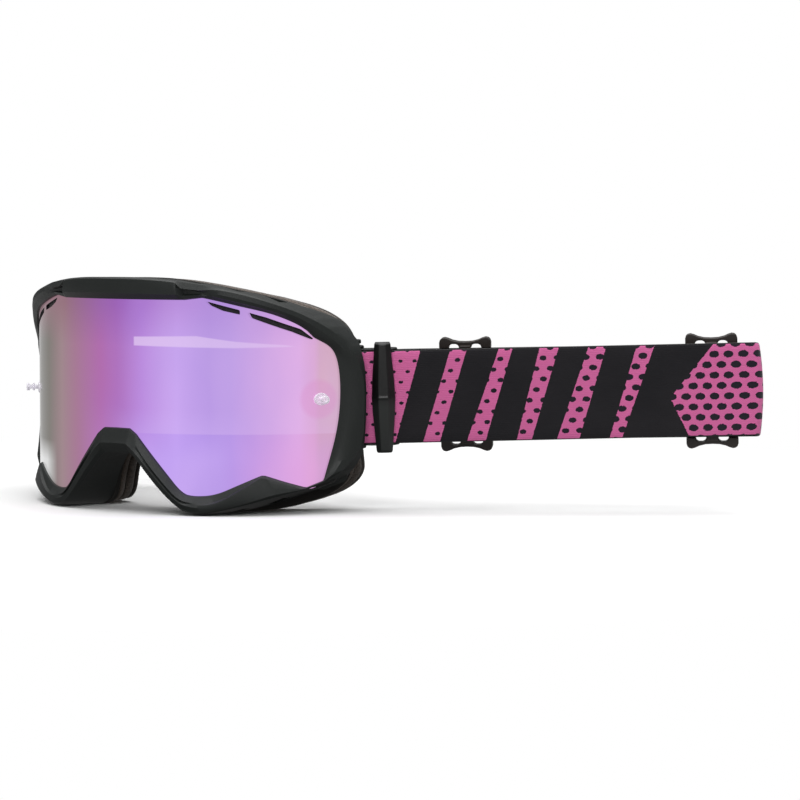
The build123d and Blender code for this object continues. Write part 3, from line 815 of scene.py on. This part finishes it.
def along(start, angle, distance, aside=0.0):
    """A plan point at a distance along a heading, and aside to its left."""
    d = heading(angle)
    return Vector((start[0] + d.x * distance - d.y * aside, start[1] + d.y * distance + d.x * aside))


def tilted(point):
    """A point of the level strap model in the strap's tipped plane."""
    x, y, z = point
    dy = y - HINGE_Y
    return (x, HINGE_Y + dy * math.cos(TILT) - z * math.sin(TILT), dy * math.sin(TILT) + z * math.cos(TILT))


HINGE = (HINGE_X, HINGE_Y)
FOLD_START = along(HINGE, STRAP_HEADING, FOLD_AT, OUTER_LAYER)
FOLD_CENTRE = along(FOLD_START, STRAP_HEADING, 0, FOLD_R)
FOLD_TOP = along(FOLD_CENTRE, FAR_HEADING, 0, FOLD_R)


def left_plan(x, y):
    """A plan point of the left strap, from its place along the heading from the hinge and aside."""
    return along(HINGE, STRAP_HEADING, x, y)


def right_plan(x, y):
    """The same on the right: mirrored, and turned in behind the frame about the right hinge."""
    place = left_plan(x, y)
    dx, dy = HINGE_X - place.x, place.y - HINGE_Y
    c, s = math.cos(-RIGHT_TURN), math.sin(-RIGHT_TURN)
    return Vector((-HINGE_X + dx * c - dy * s, HINGE_Y + dx * s + dy * c))


def at_left(p):
    """A point made at the hinge, with the strap along +X, in place on the left."""
    return tilted((*left_plan(p[0], p[1]), p[2]))


def at_right(p):
    """The same in place on the right."""
    return tilted((*right_plan(p[0], p[1]), p[2]))


def far_point(back, layer=0.0):
    """A plan point on the far half, back from the fold, and outwards by a layer distance."""
    return along(FOLD_TOP, FAR_HEADING, -back, layer)


def sag(point):
    """How far the strap hangs at a plan point: the far half's drop past the fold, and none elsewhere."""
    way = heading(FAR_HEADING)
    aside = (Vector(point[:2]) - FOLD_TOP).dot(Vector((-way.y, way.x)))
    share = min(1, max(0, (aside + 2 * FOLD_R) / (2 * FOLD_R))) * min(1, max(0, (18 - aside) / 14))
    return FAR_DROP * share * share * (3 - 2 * share)


def resample(points, step):
    """Plan points at even spacing along a polyline."""
    points = [Vector(p) for p in points]
    made, carried = [points[0]], 0.0
    for a, b in zip(points, points[1:]):
        length = (b - a).length
        at = step - carried
        while at < length:
            made.append(a.lerp(b, at / length))
            at += step
        carried = length - (at - step)
    if (made[-1] - points[-1]).length > step * 0.3:
        made.append(points[-1])
    else:
        made[-1] = points[-1]
    return made


# The strap's levels up its width, closer at its rounded edges.
EDGE_AT = STRAP_HALF - 1.0
UPPER_LEVELS = [4, 8, 12, 16, EDGE_AT, 19.7, STRAP_HALF]
LEVELS = [-z for z in reversed(UPPER_LEVELS)] + [0] + UPPER_LEVELS


def strap_band(name, path, start_u, bulge=None, printed=True):
    """A thin band with rounded edges along plan points, with its weave map in millimetres."""
    points = resample(path, 1.6)
    outer = 1 if printed else -1
    ring_uv, rows, u = [], [], start_u
    for i, p in enumerate(points):
        before, after = points[max(i - 1, 0)], points[min(i + 1, len(points) - 1)]
        u += (p - before).length
        tangent = (after - before).normalized()
        side = Vector((-tangent.y, tangent.x))
        drop = sag(p) if p.x > 60 else 0
        ring, uv = [], []
        for sign in (outer, -outer):
            for z in LEVELS if sign == outer else reversed(LEVELS):
                past_edge = max((abs(z) - EDGE_AT) / 1.02, 0.0)
                thick = STRAP_THICK / 2 * math.sqrt(max(1 - past_edge ** 2, 0.0))
                place = p - side * (sign * thick)
                if bulge:
                    place += bulge(p, z)
                ring.append(tilted((place.x, place.y, z - drop)))
                uv.append((u, z))
        rows.append(ring)
        ring_uv.append(uv)
    cols = len(rows[0])
    faces = skin_faces(len(rows), cols)
    material = MAT["strap_print" if printed else "strap_plain"]
    obj = new_object(name, [v for r in rows for v in r], faces, material)
    obj.data.materials.append(MAT["strap_plain"])
    layer = obj.data.uv_layers.new(name="strap")
    for polygon in obj.data.polygons:
        for loop in polygon.loop_indices:
            index = obj.data.loops[loop].vertex_index
            layer.data[loop].uv = ring_uv[index // cols][index % cols]
        if polygon.index < len(faces) - 2 and polygon.index % cols >= cols // 2:
            polygon.material_index = 1
    fix_normals(obj)
    smooth_by_angle(obj, 50)
    return obj


def bezier(p0, p1, p2, p3, steps=40):
    """Points of a cubic curve."""
    made = []
    for i in range(steps + 1):
        t = i / steps
        w = ((1 - t) ** 3, 3 * t * (1 - t) ** 2, 3 * t * t * (1 - t), t ** 3)
        made.append(sum((Vector(p) * k for p, k in zip((p0, p1, p2, p3), w)), Vector((0, 0))))
    return made


def end_loop(plan):
    """The strap's end from its sewn tab, round the tube, to the outer layer, placed by a plan function."""
    r = -OUTER_LAYER
    tab = [(25, TAB_LAYER), (10.5, TAB_LAYER), (8.0, TAB_LAYER + 1.2), (5.5, r - 2.6), (2.5, r - 0.5)]
    wrap = [(r * math.cos(math.radians(a)), r * math.sin(math.radians(a))) for a in range(-270, -89, 10)]
    return [plan(x, y) for x, y in tab + wrap]


def fold_bulge(p, z):
    """The fold's edge bows outwards at mid height."""
    reach = (p - FOLD_CENTRE).dot(heading(STRAP_HEADING))
    push = max(0.0, min(1.0, (reach + 9) / 12))
    return heading(STRAP_HEADING) * (1.5 * (1 - (z / STRAP_HALF) ** 2) * push)


def build_main_strap():
    """The long printed strap, from the left outrigger round the fold."""
    loop = end_loop(left_plan)
    first, last = STRAP_HEADING - math.pi / 2, FAR_HEADING + math.pi / 2
    turn = [along(FOLD_CENTRE, lerp(first, last, i / 16), FOLD_R) for i in range(17)]
    loop_length = sum((b - a).length for a, b in zip(loop, loop[1:]))
    main = strap_band("strap_main", loop + turn + [far_point(FAR_END)], -loop_length, fold_bulge)
    fit(main, "left_outrigger", "strap_print", "strap_long")


def build_second_strap():
    """The short strap, split where it is still on the goggles' body, so that each piece crosses one joint."""
    rear, front = far_point(8, LAYER_STEP), far_point(146, LAYER_STEP)
    right_heading = math.pi - STRAP_HEADING - RIGHT_TURN
    leave = right_plan(28.5, OUTER_LAYER)
    middle, meet = Vector((-28, 113)), Vector((70, 80.5))
    out_of_hinge = bezier(leave, along(leave, right_heading, 26), along(middle, math.pi, 38), middle)
    across = bezier(middle, along(middle, 0, 36), along(meet, math.radians(178), 34), meet)
    joined = bezier(meet, along(meet, math.radians(-2), 11), along(front, FAR_HEADING, -9), front, 14)
    right = strap_band("strap_second_right", end_loop(right_plan) + out_of_hinge, 300, printed=False)
    left = strap_band("strap_second_left", across[:-1] + joined + [rear], 480, printed=False)
    leaving = (*right_plan(26, OUTER_LAYER) * MM, 0)
    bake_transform(right)
    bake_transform(left)
    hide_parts("strap_short_end", "strap_short_across")
    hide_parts("strap_short_rear")


build_main_strap()
build_second_strap()


# ---------------------------------------------------------------- soft rings, pads and their cloth simulation

RING_COUNT = 16
CLOTH_STEPS = 16


def lobe(value, power):
    """A sine or cosine pushed towards a square wave."""
    return math.copysign(abs(value) ** power, value)


def tube(name, sections, material, square, closed=True, count=RING_COUNT, fuzz=0.0):
    """A soft tube: each section is a centre and two half axes, and its outline is a rounded rectangle."""
    verts = []
    for centre, a, b in sections:
        for j in range(count):
            turn = 2 * math.pi * j / count
            out = Vector(a) * lobe(math.cos(turn), square) + Vector(b) * lobe(math.sin(turn), square)
            p = Vector(centre) + out
            if fuzz:
                p += out.normalized() * fuzz * noise.noise(p * 0.6)
            verts.append(tuple(p))
    rows = len(sections)
    faces = side_faces(rows, count, True) if closed else skin_faces(rows, count)
    obj = new_object(name, verts, faces, material)
    fix_normals(obj)
    return obj


def flip_section(section):
    """A section mirrored across the middle plane."""
    return tuple((-v[0], v[1], v[2]) for v in section)


def swell(obj, pressure, limit, pin_back):
    """Presses a soft ring outwards by a short cloth simulation; its glued front and back faces stay put."""
    rest = [v.co.copy() for v in obj.data.vertices]
    held = []
    for i in range(len(rest)):
        side = math.sin(2 * math.pi * (i % RING_COUNT) / RING_COUNT)
        if side > 0.6 or (pin_back and side < -0.6):
            held.append(i)
    obj.vertex_groups.new(name="held").add(held, 1.0, "REPLACE")
    mod = obj.modifiers.new("swell", "CLOTH")
    cloth = mod.settings
    cloth.quality = 6
    cloth.mass = 0.1
    cloth.tension_stiffness = cloth.compression_stiffness = 10
    cloth.shear_stiffness = 4
    cloth.bending_stiffness = 0.3
    cloth.use_pressure = True
    cloth.uniform_pressure_force = pressure
    cloth.effector_weights.gravity = 0
    cloth.vertex_group_mass = "held"
    mod.point_cache.frame_start, mod.point_cache.frame_end = 1, CLOTH_STEPS
    for step in range(CLOTH_STEPS):
        bpy.context.scene.frame_set(step + 1)
    apply_modifiers(obj)
    for vertex, start in zip(obj.data.vertices, rest):
        moved = vertex.co - start
        if moved.length > limit * MM:
            vertex.co = start + moved.normalized() * limit * MM
    obj.data.update()
    bpy.context.scene.frame_set(1)


# Face stations round the right half: outer edge x, z and inner edge x, z.
FACE = [
    (0, 51, 0, 41.4), (14, 50.8, 13.5, 41.2), (30, 48.4, 28.4, 39.2), (42, 45.8, 39.6, 36.8),
    (53, 43.2, 49.4, 34.6), (63, 39.6, 57.6, 31.8), (70.4, 34.8, 62.8, 27.6), (75.0, 27, 66.0, 21.5),
    (76.2, 14, 66.9, 12.5), (76.4, 0, 67.2, 0), (76.4, -14, 67.2, -12), (77.4, -26, 67.4, -22),
    (77.8, -35.2, 66.8, -29.6), (72, -42.6, 62, -36), (60, -47.4, 54.5, -38.6), (47, -49.2, 45, -39.6),
    (34, -49.2, 38, -39.4), (25, -48.9, 33, -38.4), (20.2, -45, 30, -36), (18.6, -36, 27.6, -31),
    (15.6, -28, 23.6, -22.4), (10.4, -22, 16, -14.4), (5.6, -20.5, 8, -11.2), (0, -20.5, 0, -11),
]


def face_ring(front, back, inset, widen=0.0):
    """Sections of a ring against the face, between two depths in front of the face surface."""
    half = []
    mid = (front + back) / 2
    for (xo, zo, xi, zi), _ in cut_corners([(list(s), 0) for s in FACE], 2):
        edge, inner = Vector((xo, zo)), Vector((xi, zi))
        way = (inner - edge).normalized()
        edge, inner = edge + way * inset, inner - way * (inset - widen)
        p = Vector((edge.x, face_y(edge.x, mid), edge.y))
        q = Vector((inner.x, face_y(inner.x, mid), inner.y))
        half.append((tuple((p + q) / 2), tuple((p - q) / 2), (0, (back - front) / -2, 0)))
    return mirrored_loop(half, flip_section)


def soft_ring(name, node, material, finish, depths, inset, pressure, limit, pin_back=True):
    """One face foam layer, swollen by simulation between its glue lines."""
    obj = tube(name, face_ring(*depths, inset), MAT[material], 0.55, fuzz=0.15)
    swell(obj, pressure, limit, pin_back)
    smooth = obj.modifiers.new("smooth", "SUBSURF")
    smooth.levels = smooth.render_levels = 1
    fit(obj, "goggles", finish, node)


def build_face():
    """The soft flange and the three foam layers."""
    soft_ring("foam_firm_layer", "foam_firm", "foam_dark", "foam_dark", (13.9, 9.1), 0.5, 4, 0.5)
    soft_ring("foam_soft_layer", "foam_soft", "foam_soft", "foam_dark", (8.9, 3.1), 0.5, 5, 0.9)
    soft_ring("foam_fleece_layer", "foam_fleece", "fleece", "fleece", (2.9, 0.1), 1.0, 4, 0.5, False)
    flange = tube("face_flange", face_ring(17.0, 14.1, -0.1, 0.6), MAT["rubber"], 0.3)
    smooth_by_angle(flange, 30)
    fit(flange, "goggles", "soft_frame", "face_frame")


def build_seal():
    """The foam gasket between the lens and its seat."""
    seal = []
    for xi, zi, xo, zo, *_ in half_sections(2):
        way = Vector((xo - xi, zo - zi)).normalized()
        p, q = [Vector(on_lens(xi + way.x * t, zi + way.y * t, -2.0)) for t in (1.7, -0.2)]
        out = Vector((p.x, p.y - LENS_R, 0)).normalized() * 0.6
        seal.append((tuple((p + q) / 2), tuple((p - q) / 2), tuple(out)))
    obj = tube("lens_seal", mirrored_loop(seal, flip_section), MAT["filter"], 0.5, count=10, fuzz=0.1)
    fit(obj, "goggles", "gasket", "lens_gasket")


def filter_pads(name, node, line, height, depth_at):
    """A pair of filter pads along a front-view line."""
    for side, label in ((1, "left"), (-1, "right")):
        sections = []
        for x, z in line:
            near, deep = depth_at(x)
            sections.append(((x * side, (near + deep) / 2, z), (0, (deep - near) / 2, 0), (0, 0, height / 2)))
        obj = tube(f"{name}_{label}", sections, MAT["filter"], 0.4, False, 14, 0.25)
        fit(obj, "goggles", "filter_foam", node)


def behind_lens(x):
    """Front and back Y of a pad on the back of the lens."""
    y = on_lens(x, 0, -1.5)[1]
    return y, y + 2.4


def under_wall(x):
    """Front and back Y of a pad inside the frame's wall."""
    return on_lens(x, 0, -4.0)[1], face_y(x, 18.0)


def build_filters():
    """The filter pads behind the lens slots, under the roof vents and over the sill vents."""
    slot_line = [(39 + 2 * i, 40.6 - 0.22 * i - 0.030 * i * i) for i in range(20)]
    roof_line = [(6 + 3 * i, 46.6 - 0.10 * i - 0.022 * i * i) for i in range(21)]
    sill_line = [(41 + 3 * i, -44.6 + 0.35 * i + 0.09 * i * i) for i in range(9)]
    filter_pads("slot_filter", "lens_vent_foam", slot_line, 8.4, behind_lens)
    filter_pads("roof_filter", "vent_foam_top", roof_line, 2.0, under_wall)
    filter_pads("sill_filter", "vent_foam_bottom", sill_line, 1.8, under_wall)


build_face()
build_seal()
build_filters()


# ---------------------------------------------------------------- outriggers, bars, ears and posts

SIDES = (("left", 1, at_left), ("right", -1, at_right))
# The keeper bar's levels up from its middle: Z, half width, how proud it stands.
BAR_LEVELS = [
    (23.85, 3.1, 1.5), (22.8, 3.5, 2.9), (15, 4.1, 3.5), (7, 4.75, 3.9), (0.9, 5.0, 4.2), (0, 5.05, 4.5),
]
BAR_AT = 10.9
# The outrigger's tube, up from its middle: Z, radius.
TUBE_LEVELS = [(22.2, 2.6), (21.8, 3.0), (20.4, 3.0), (20, 2.85), (0, 2.75)]
ARM_LEVELS = (20.1, 20.8)
EAR_LEVELS = (22.95, 24.7)
POST_ANGLE = math.radians(55.8)


def both_ways(levels):
    """Levels up from the middle, continued as their mirror image below it."""
    return levels + [(-z, *rest) for z, *rest in reversed(levels[:-1])]


def keeper_bar(label, place):
    """The bar outside the strap: three facets, widest and proudest at a crest across its middle."""
    base = OUTER_LAYER - 0.95
    rings = []
    for z, half, proud in both_ways(BAR_LEVELS):
        low, flat = min(1.2, proud * 0.6), half * 0.42
        across = [(-half, 0), (-half, low), (-flat, proud), (flat, proud), (half, low), (half, 0)]
        rings.append([(BAR_AT + dx, base - dy, z) for dx, dy in across])
    obj = stacked("keeper_" + label, [rings], place, MAT["outrigger"])
    bevel(obj, 0.35, 3, 15)
    fit(obj, label + "_outrigger", "outrigger_plastic", "keeper_bar_" + label)


def outrigger_ring(label, place):
    """The ring on the hinge pin: a waisted tube, two thin arms and the inner bar."""
    tube_rings = []
    for z, r in both_ways(TUBE_LEVELS):
        turns = [math.pi * j / 12 for j in range(24)]
        tube_rings.append([(r * math.cos(turn), r * math.sin(turn), z) for turn in turns])
    outside = [(5.5, OUTER_LAYER - 0.7), (12, OUTER_LAYER - 0.85), (15.4, OUTER_LAYER - 0.5)]
    arm = [(-2.2, -2.2), *outside, (17.2, -1.4), (17.2, 1.0), (12, 2.5), (0, 2.8)]
    arms = [[[(x, y, z * up) for x, y in arm] for z in ARM_LEVELS] for up in (1, -1)]
    inner_bar = [[(12.3, 0.1, z), (17.1, 0.1, z), (16.8, 1.6, z), (14.7, 2.3, z), (12.6, 1.6, z)]
                 for z in (-21, -10, 10, 21)]
    obj = stacked("outrigger_ring_" + label, [tube_rings, *arms, inner_bar], place, MAT["outrigger"], 30)
    bevel(obj, 0.25, 2, 30)
    fit(obj, label + "_outrigger", "outrigger_plastic", "outrigger_" + label)


def hinge_ears(label, side):
    """The two ears on the frame that hold a hinge pin: a web from the frame's wall, rounded about the pin."""
    nose = [(1.8 * math.cos(math.radians(a)), 1.8 * math.sin(math.radians(a))) for a in range(170, -31, -20)]
    plan = [(-2.6, -6.4), (-4.6, -4.0), (-3.6, -0.8), *nose, (1.8, -3.4), (2.0, -6.0)]
    for up, end in ((1, "top"), (-1, "bottom")):
        def place(p):
            return tilted((side * (HINGE_X + p[0]), HINGE_Y + p[1], p[2] * up))
        rings = [[(x, y, z) for x, y in plan] for z in EAR_LEVELS]
        obj = stacked(f"hinge_ear_{label}_{end}", [rings], place, MAT["plastic"])
        bevel(obj, 0.45, 3, 30)
        fit(obj, "goggles", "frame_shell")


# A tear-off post's turned outline: radius, height over the lens.
POST_PROFILE = [
    (0.0, -3.6), (1.3, -3.6), (1.5, -3.4), (1.5, 0.06), (2.5, 0.08), (2.7, 0.3), (2.7, 0.7), (2.5, 0.95),
    (2.2, 1.0), (2.0, 0.9), (1.5, 0.72), (1.15, 0.85), (1.0, 1.2), (0.95, 2.6), (1.2, 2.8), (1.7, 2.95),
    (1.7, 3.6), (1.2, 3.8), (0.95, 4.0), (0.95, 4.9), (1.2, 5.05), (1.7, 5.15), (1.7, 6.2), (1.45, 6.4),
    (0.8, 6.4), (0.6, 6.2), (0.0, 6.2),
]


def tearoff_post(label, side):
    """A clear tear-off post: oval flange, thin shaft and two collars."""
    foot = Vector(on_lens(LENS_R * math.sin(POST_ANGLE) * side, 0))
    out = Vector((math.sin(POST_ANGLE) * side, -math.cos(POST_ANGLE), 0))
    across = Vector((out.y, -out.x, 0))
    up = Vector((0, 0, 1))
    turns = [2 * math.pi * j / 28 for j in range(28)]
    rings = []
    for r, h in POST_PROFILE:
        wide = r * 1.22 if 0 < h < 1.1 and r > 2 else r
        centre = foot + out * h
        round_way = [across * (wide * math.cos(turn)) + up * (r * math.sin(turn)) for turn in turns]
        rings.append([centre + d for d in round_way])
    obj = stacked("post_" + label, [rings], tuple, MAT["clear"], 40)
    fit(obj, "goggles", "clear_post", "tearoff_post_" + label)


# ---------------------------------------------------------------- sliders and stitching

# A slider's bars: X from and to, Y from and to, in its own frame.
SLIDER_BARS = [(-2.3, 2.3, -3.35, -2.0), (-11.1, -7.2, 2.0, 3.35), (7.2, 11.1, 2.0, 3.35)]
SLIDER_BAR_TOP = 21.2
CAP_HALF = 2.9


def slider_cap():
    """The horned end of a slider, in X and Z: a dipped top edge and the rounded tops of its two slots."""
    horn = [(-11.2, 20.25), (-11.2, 22.6), (-10.8, 23.9), (-10.0, 24.6), (-8.8, 24.8), (-7.4, 24.4),
            (-5.6, 23.6), (-3.0, 23.0)]
    slot = [(7.0, 20.25), (7.0, 20.9), (6.5, 21.6), (5.6, 21.95), (4.1, 21.95), (3.2, 21.6), (2.7, 20.9),
            (2.7, 20.25)]
    top = horn + [(0, 22.85)] + [(-x, z) for x, z in reversed(horn)]
    return top + slot + [(-x, z) for x, z in reversed(slot)]


def build_slider(label, back):
    """A three-bar slider: two horned caps, a front bar and two rear bars."""
    origin = far_point(back, LAYER_STEP / 2)
    drop = sag(origin)

    def place(p):
        x, y = along(origin, FAR_HEADING, p[0], p[1])
        return tilted((x, y, p[2] - drop))

    stacks = [[[(x, y, z * up) for x, z in slider_cap()] for y in (-CAP_HALF, CAP_HALF)] for up in (1, -1)]
    for x0, x1, y0, y1 in SLIDER_BARS:
        rings = []
        for z in (-SLIDER_BAR_TOP, -10, 0, 10, SLIDER_BAR_TOP):
            waist = 0.25 * (1 - abs(z) / SLIDER_BAR_TOP)
            rings.append([(x0 + waist, y0, z), (x1 - waist, y0, z), (x1 - waist, y1, z), (x0 + waist, y1, z)])
        stacks.append(rings)
    obj = stacked(f"slider_{label}_body", stacks, place, MAT["slider"], 30)
    bevel(obj, 0.6, 3, 30)
    fit(obj, label + "_slider", "slider_plastic", "slider_" + label)


STITCH_PITCH = 2.4
# One stitch, a spindle: share of its length, radius.
SPINDLE = ((0, 0.12), (0.2, 0.28), (0.5, 0.32), (0.8, 0.28), (1, 0.12))


def stitches(name, body, place, rows):
    """Rows of thread: each stitch is a small spindle between two points, given in the place's own frame."""
    side = Vector((0, 1, 0))
    stacks = []
    for start, end in rows:
        start, end = Vector(start), Vector(end)
        count = max(1, round((end - start).length / STITCH_PITCH))
        way = (end - start) / count
        other = way.normalized().cross(side)
        turns = [math.pi * j / 3 for j in range(6)]
        round_way = [side * math.cos(turn) * 0.8 + other * math.sin(turn) for turn in turns]
        for k in range(count):
            a, b = start + way * (k + 0.14), start + way * (k + 0.86)
            stacks.append([[a.lerp(b, t) + d * r for d in round_way] for t, r in SPINDLE])
    obj = stacked(name, stacks, place, MAT["thread"], 180)
    fit(obj, body, "strap_print")


def box_rows(x0, x1, y, half=17.0):
    """Two upright rows, then the two sides that close them."""
    return [((x0, y, -half), (x0, y, half)), ((x1, y, -half), (x1, y, half)),
            ((x0, y, half), (x1, y, half)), ((x0, y, -half), (x1, y, -half))]


def on_far(p):
    """A point on the far half, from its place along from the fold, its layer and its height."""
    x, y = far_point(-p[0], p[1])
    return tilted((x, y, p[2] - sag((x, y))))


def build_fittings():
    """Both sides' hard parts, the sliders and the stitching."""
    over_cloth = STRAP_THICK / 2 + 0.05
    for label, side, place in SIDES:
        keeper_bar(label, place)
        outrigger_ring(label, place)
        hinge_ears(label, side)
        tearoff_post(label, side)
        tab_rows = box_rows(19.0, 23.4, TAB_LAYER + over_cloth)
        stitches("tab_stitches_" + label, label + "_outrigger", place, tab_rows)
    build_slider("front", FRONT_SLIDER_AT)
    build_slider("rear", REAR_SLIDER_AT)
    second_rows = box_rows(-13.0, -9.6, LAYER_STEP + over_cloth)[:2]
    stitches("second_strap_stitches", "left_outrigger", on_far, second_rows)
    stitches("main_strap_stitches", "left_outrigger", on_far, box_rows(-134.2, -131.4, -over_cloth)[:2])


build_fittings()


# ---------------------------------------------------------------- CAD nodes that stay, with their materials

KEPT = {
    "post_clip_left": ("clear", 0.2), "post_clip_right": ("clear", 0.2),
    "hinge_pin_left": ("steel", 0.3), "hinge_pin_right": ("steel", 0.3), "grip_lines": ("silicone", 0.1),
}
for node, (material, width) in KEPT.items():
    kept = frame["nodes"][node]
    kept.data.materials.clear()
    kept.data.materials.append(MAT[material])
    bevel(kept, width, 2, 30)


# ---------------------------------------------------------------- floor, light and camera

FLOOR_HALF = 4000
FLOOR_MIDDLE = (0.03, 0.06, REST_Z * MM)
CAMERA_AT = (0.8355, -1.0222, 0.0844)
CAMERA_TARGET = (0.1004, 0.0677, -0.0010)
CAMERA_LENS = 138.6
# Soft boxes: place, target, size, power.
SOFT_BOXES = {
    "top": ((0.1, 0.1, 1.6), (0.1, 0.1, 0), (2.4, 2.0), 34),
    "front": ((0.9, -1.5, 0.9), (0.05, 0.05, 0), (1.1, 0.8), 12),
}


def floor_white():
    """White to the camera, with shadows near the goggles only, and a dim glow in mirrored rays."""
    n = Nodes("floor_white")
    n.tree.nodes.remove(n.tree.nodes["Principled BSDF"])
    away = n.distance(FLOOR_MIDDLE)
    lit = n.add("ShaderNodeBsdfDiffuse")
    lit.inputs["Color"].default_value = (0.93, 0.93, 0.93, 1)
    glow = n.add("ShaderNodeEmission")
    glow.inputs["Strength"].default_value = 1.0
    # In mirrored rays the floor glows, dimmer near the goggles: a painted shadow under them.
    mirrored = n.add("ShaderNodeEmission")
    n.put(mirrored.inputs["Strength"], n.span(away, 0.06, 0.20, 0.12, 0.50))

    def blend(share, a, b):
        node = n.add("ShaderNodeMixShader")
        for socket, value in zip(node.inputs, (share, a.outputs[0], b.outputs[0])):
            n.put(socket, value)
        return node

    fade = blend(n.span(away, 0.22, 0.40), lit, glow)
    seen = n.add("ShaderNodeLightPath").outputs["Is Camera Ray"]
    n.link(blend(seen, mirrored, fade).outputs[0], n.tree.nodes["Material Output"].inputs["Surface"])
    return n.owner


def studio_world():
    """White to the camera, and to everything else a sky that brightens upwards."""
    n = Nodes("studio", bpy.data.worlds)
    up = n.axes(n.add("ShaderNodeTexCoord").outputs["Generated"])[2]
    strength = n.add("ShaderNodeMix")
    n.link(n.add("ShaderNodeLightPath").outputs["Is Camera Ray"], strength.inputs[0])
    n.put(strength.inputs[2], n.span(up, 0.0, 0.8, 0.05, 0.55))
    n.put(strength.inputs[3], 1.0)
    background = n.tree.nodes["Background"]
    background.inputs[0].default_value = (1, 1, 1, 1)
    n.link(strength.outputs[0], background.inputs[1])
    bpy.context.scene.world = n.owner


def aimed(name, data, place, target):
    """A light or camera that looks from a place at a target."""
    obj = link(name, data)
    obj.location = place
    obj.rotation_euler = (Vector(target) - Vector(place)).to_track_quat("-Z", "Y").to_euler()
    return obj


def studio():
    """A white sweep, soft boxes and the camera."""
    corners = [(x * FLOOR_HALF, y * FLOOR_HALF, REST_Z) for x, y in ((-1, -1), (1, -1), (1, 1), (-1, 1))]
    new_object("floor", corners, [(0, 1, 2, 3)], floor_white())
    studio_world()
    for name, (place, target, size, power) in SOFT_BOXES.items():
        light = bpy.data.lights.new(name, "AREA")
        light.shape = "RECTANGLE"
        light.size, light.size_y = size
        light.energy = power
        aimed(name, light, place, target)
    camera = bpy.data.cameras.new("camera")
    camera.lens = CAMERA_LENS
    camera.sensor_width = 36
    bpy.context.scene.camera = aimed("camera", camera, CAMERA_AT, CAMERA_TARGET)
    bpy.context.scene.view_settings.view_transform = "Standard"


studio()
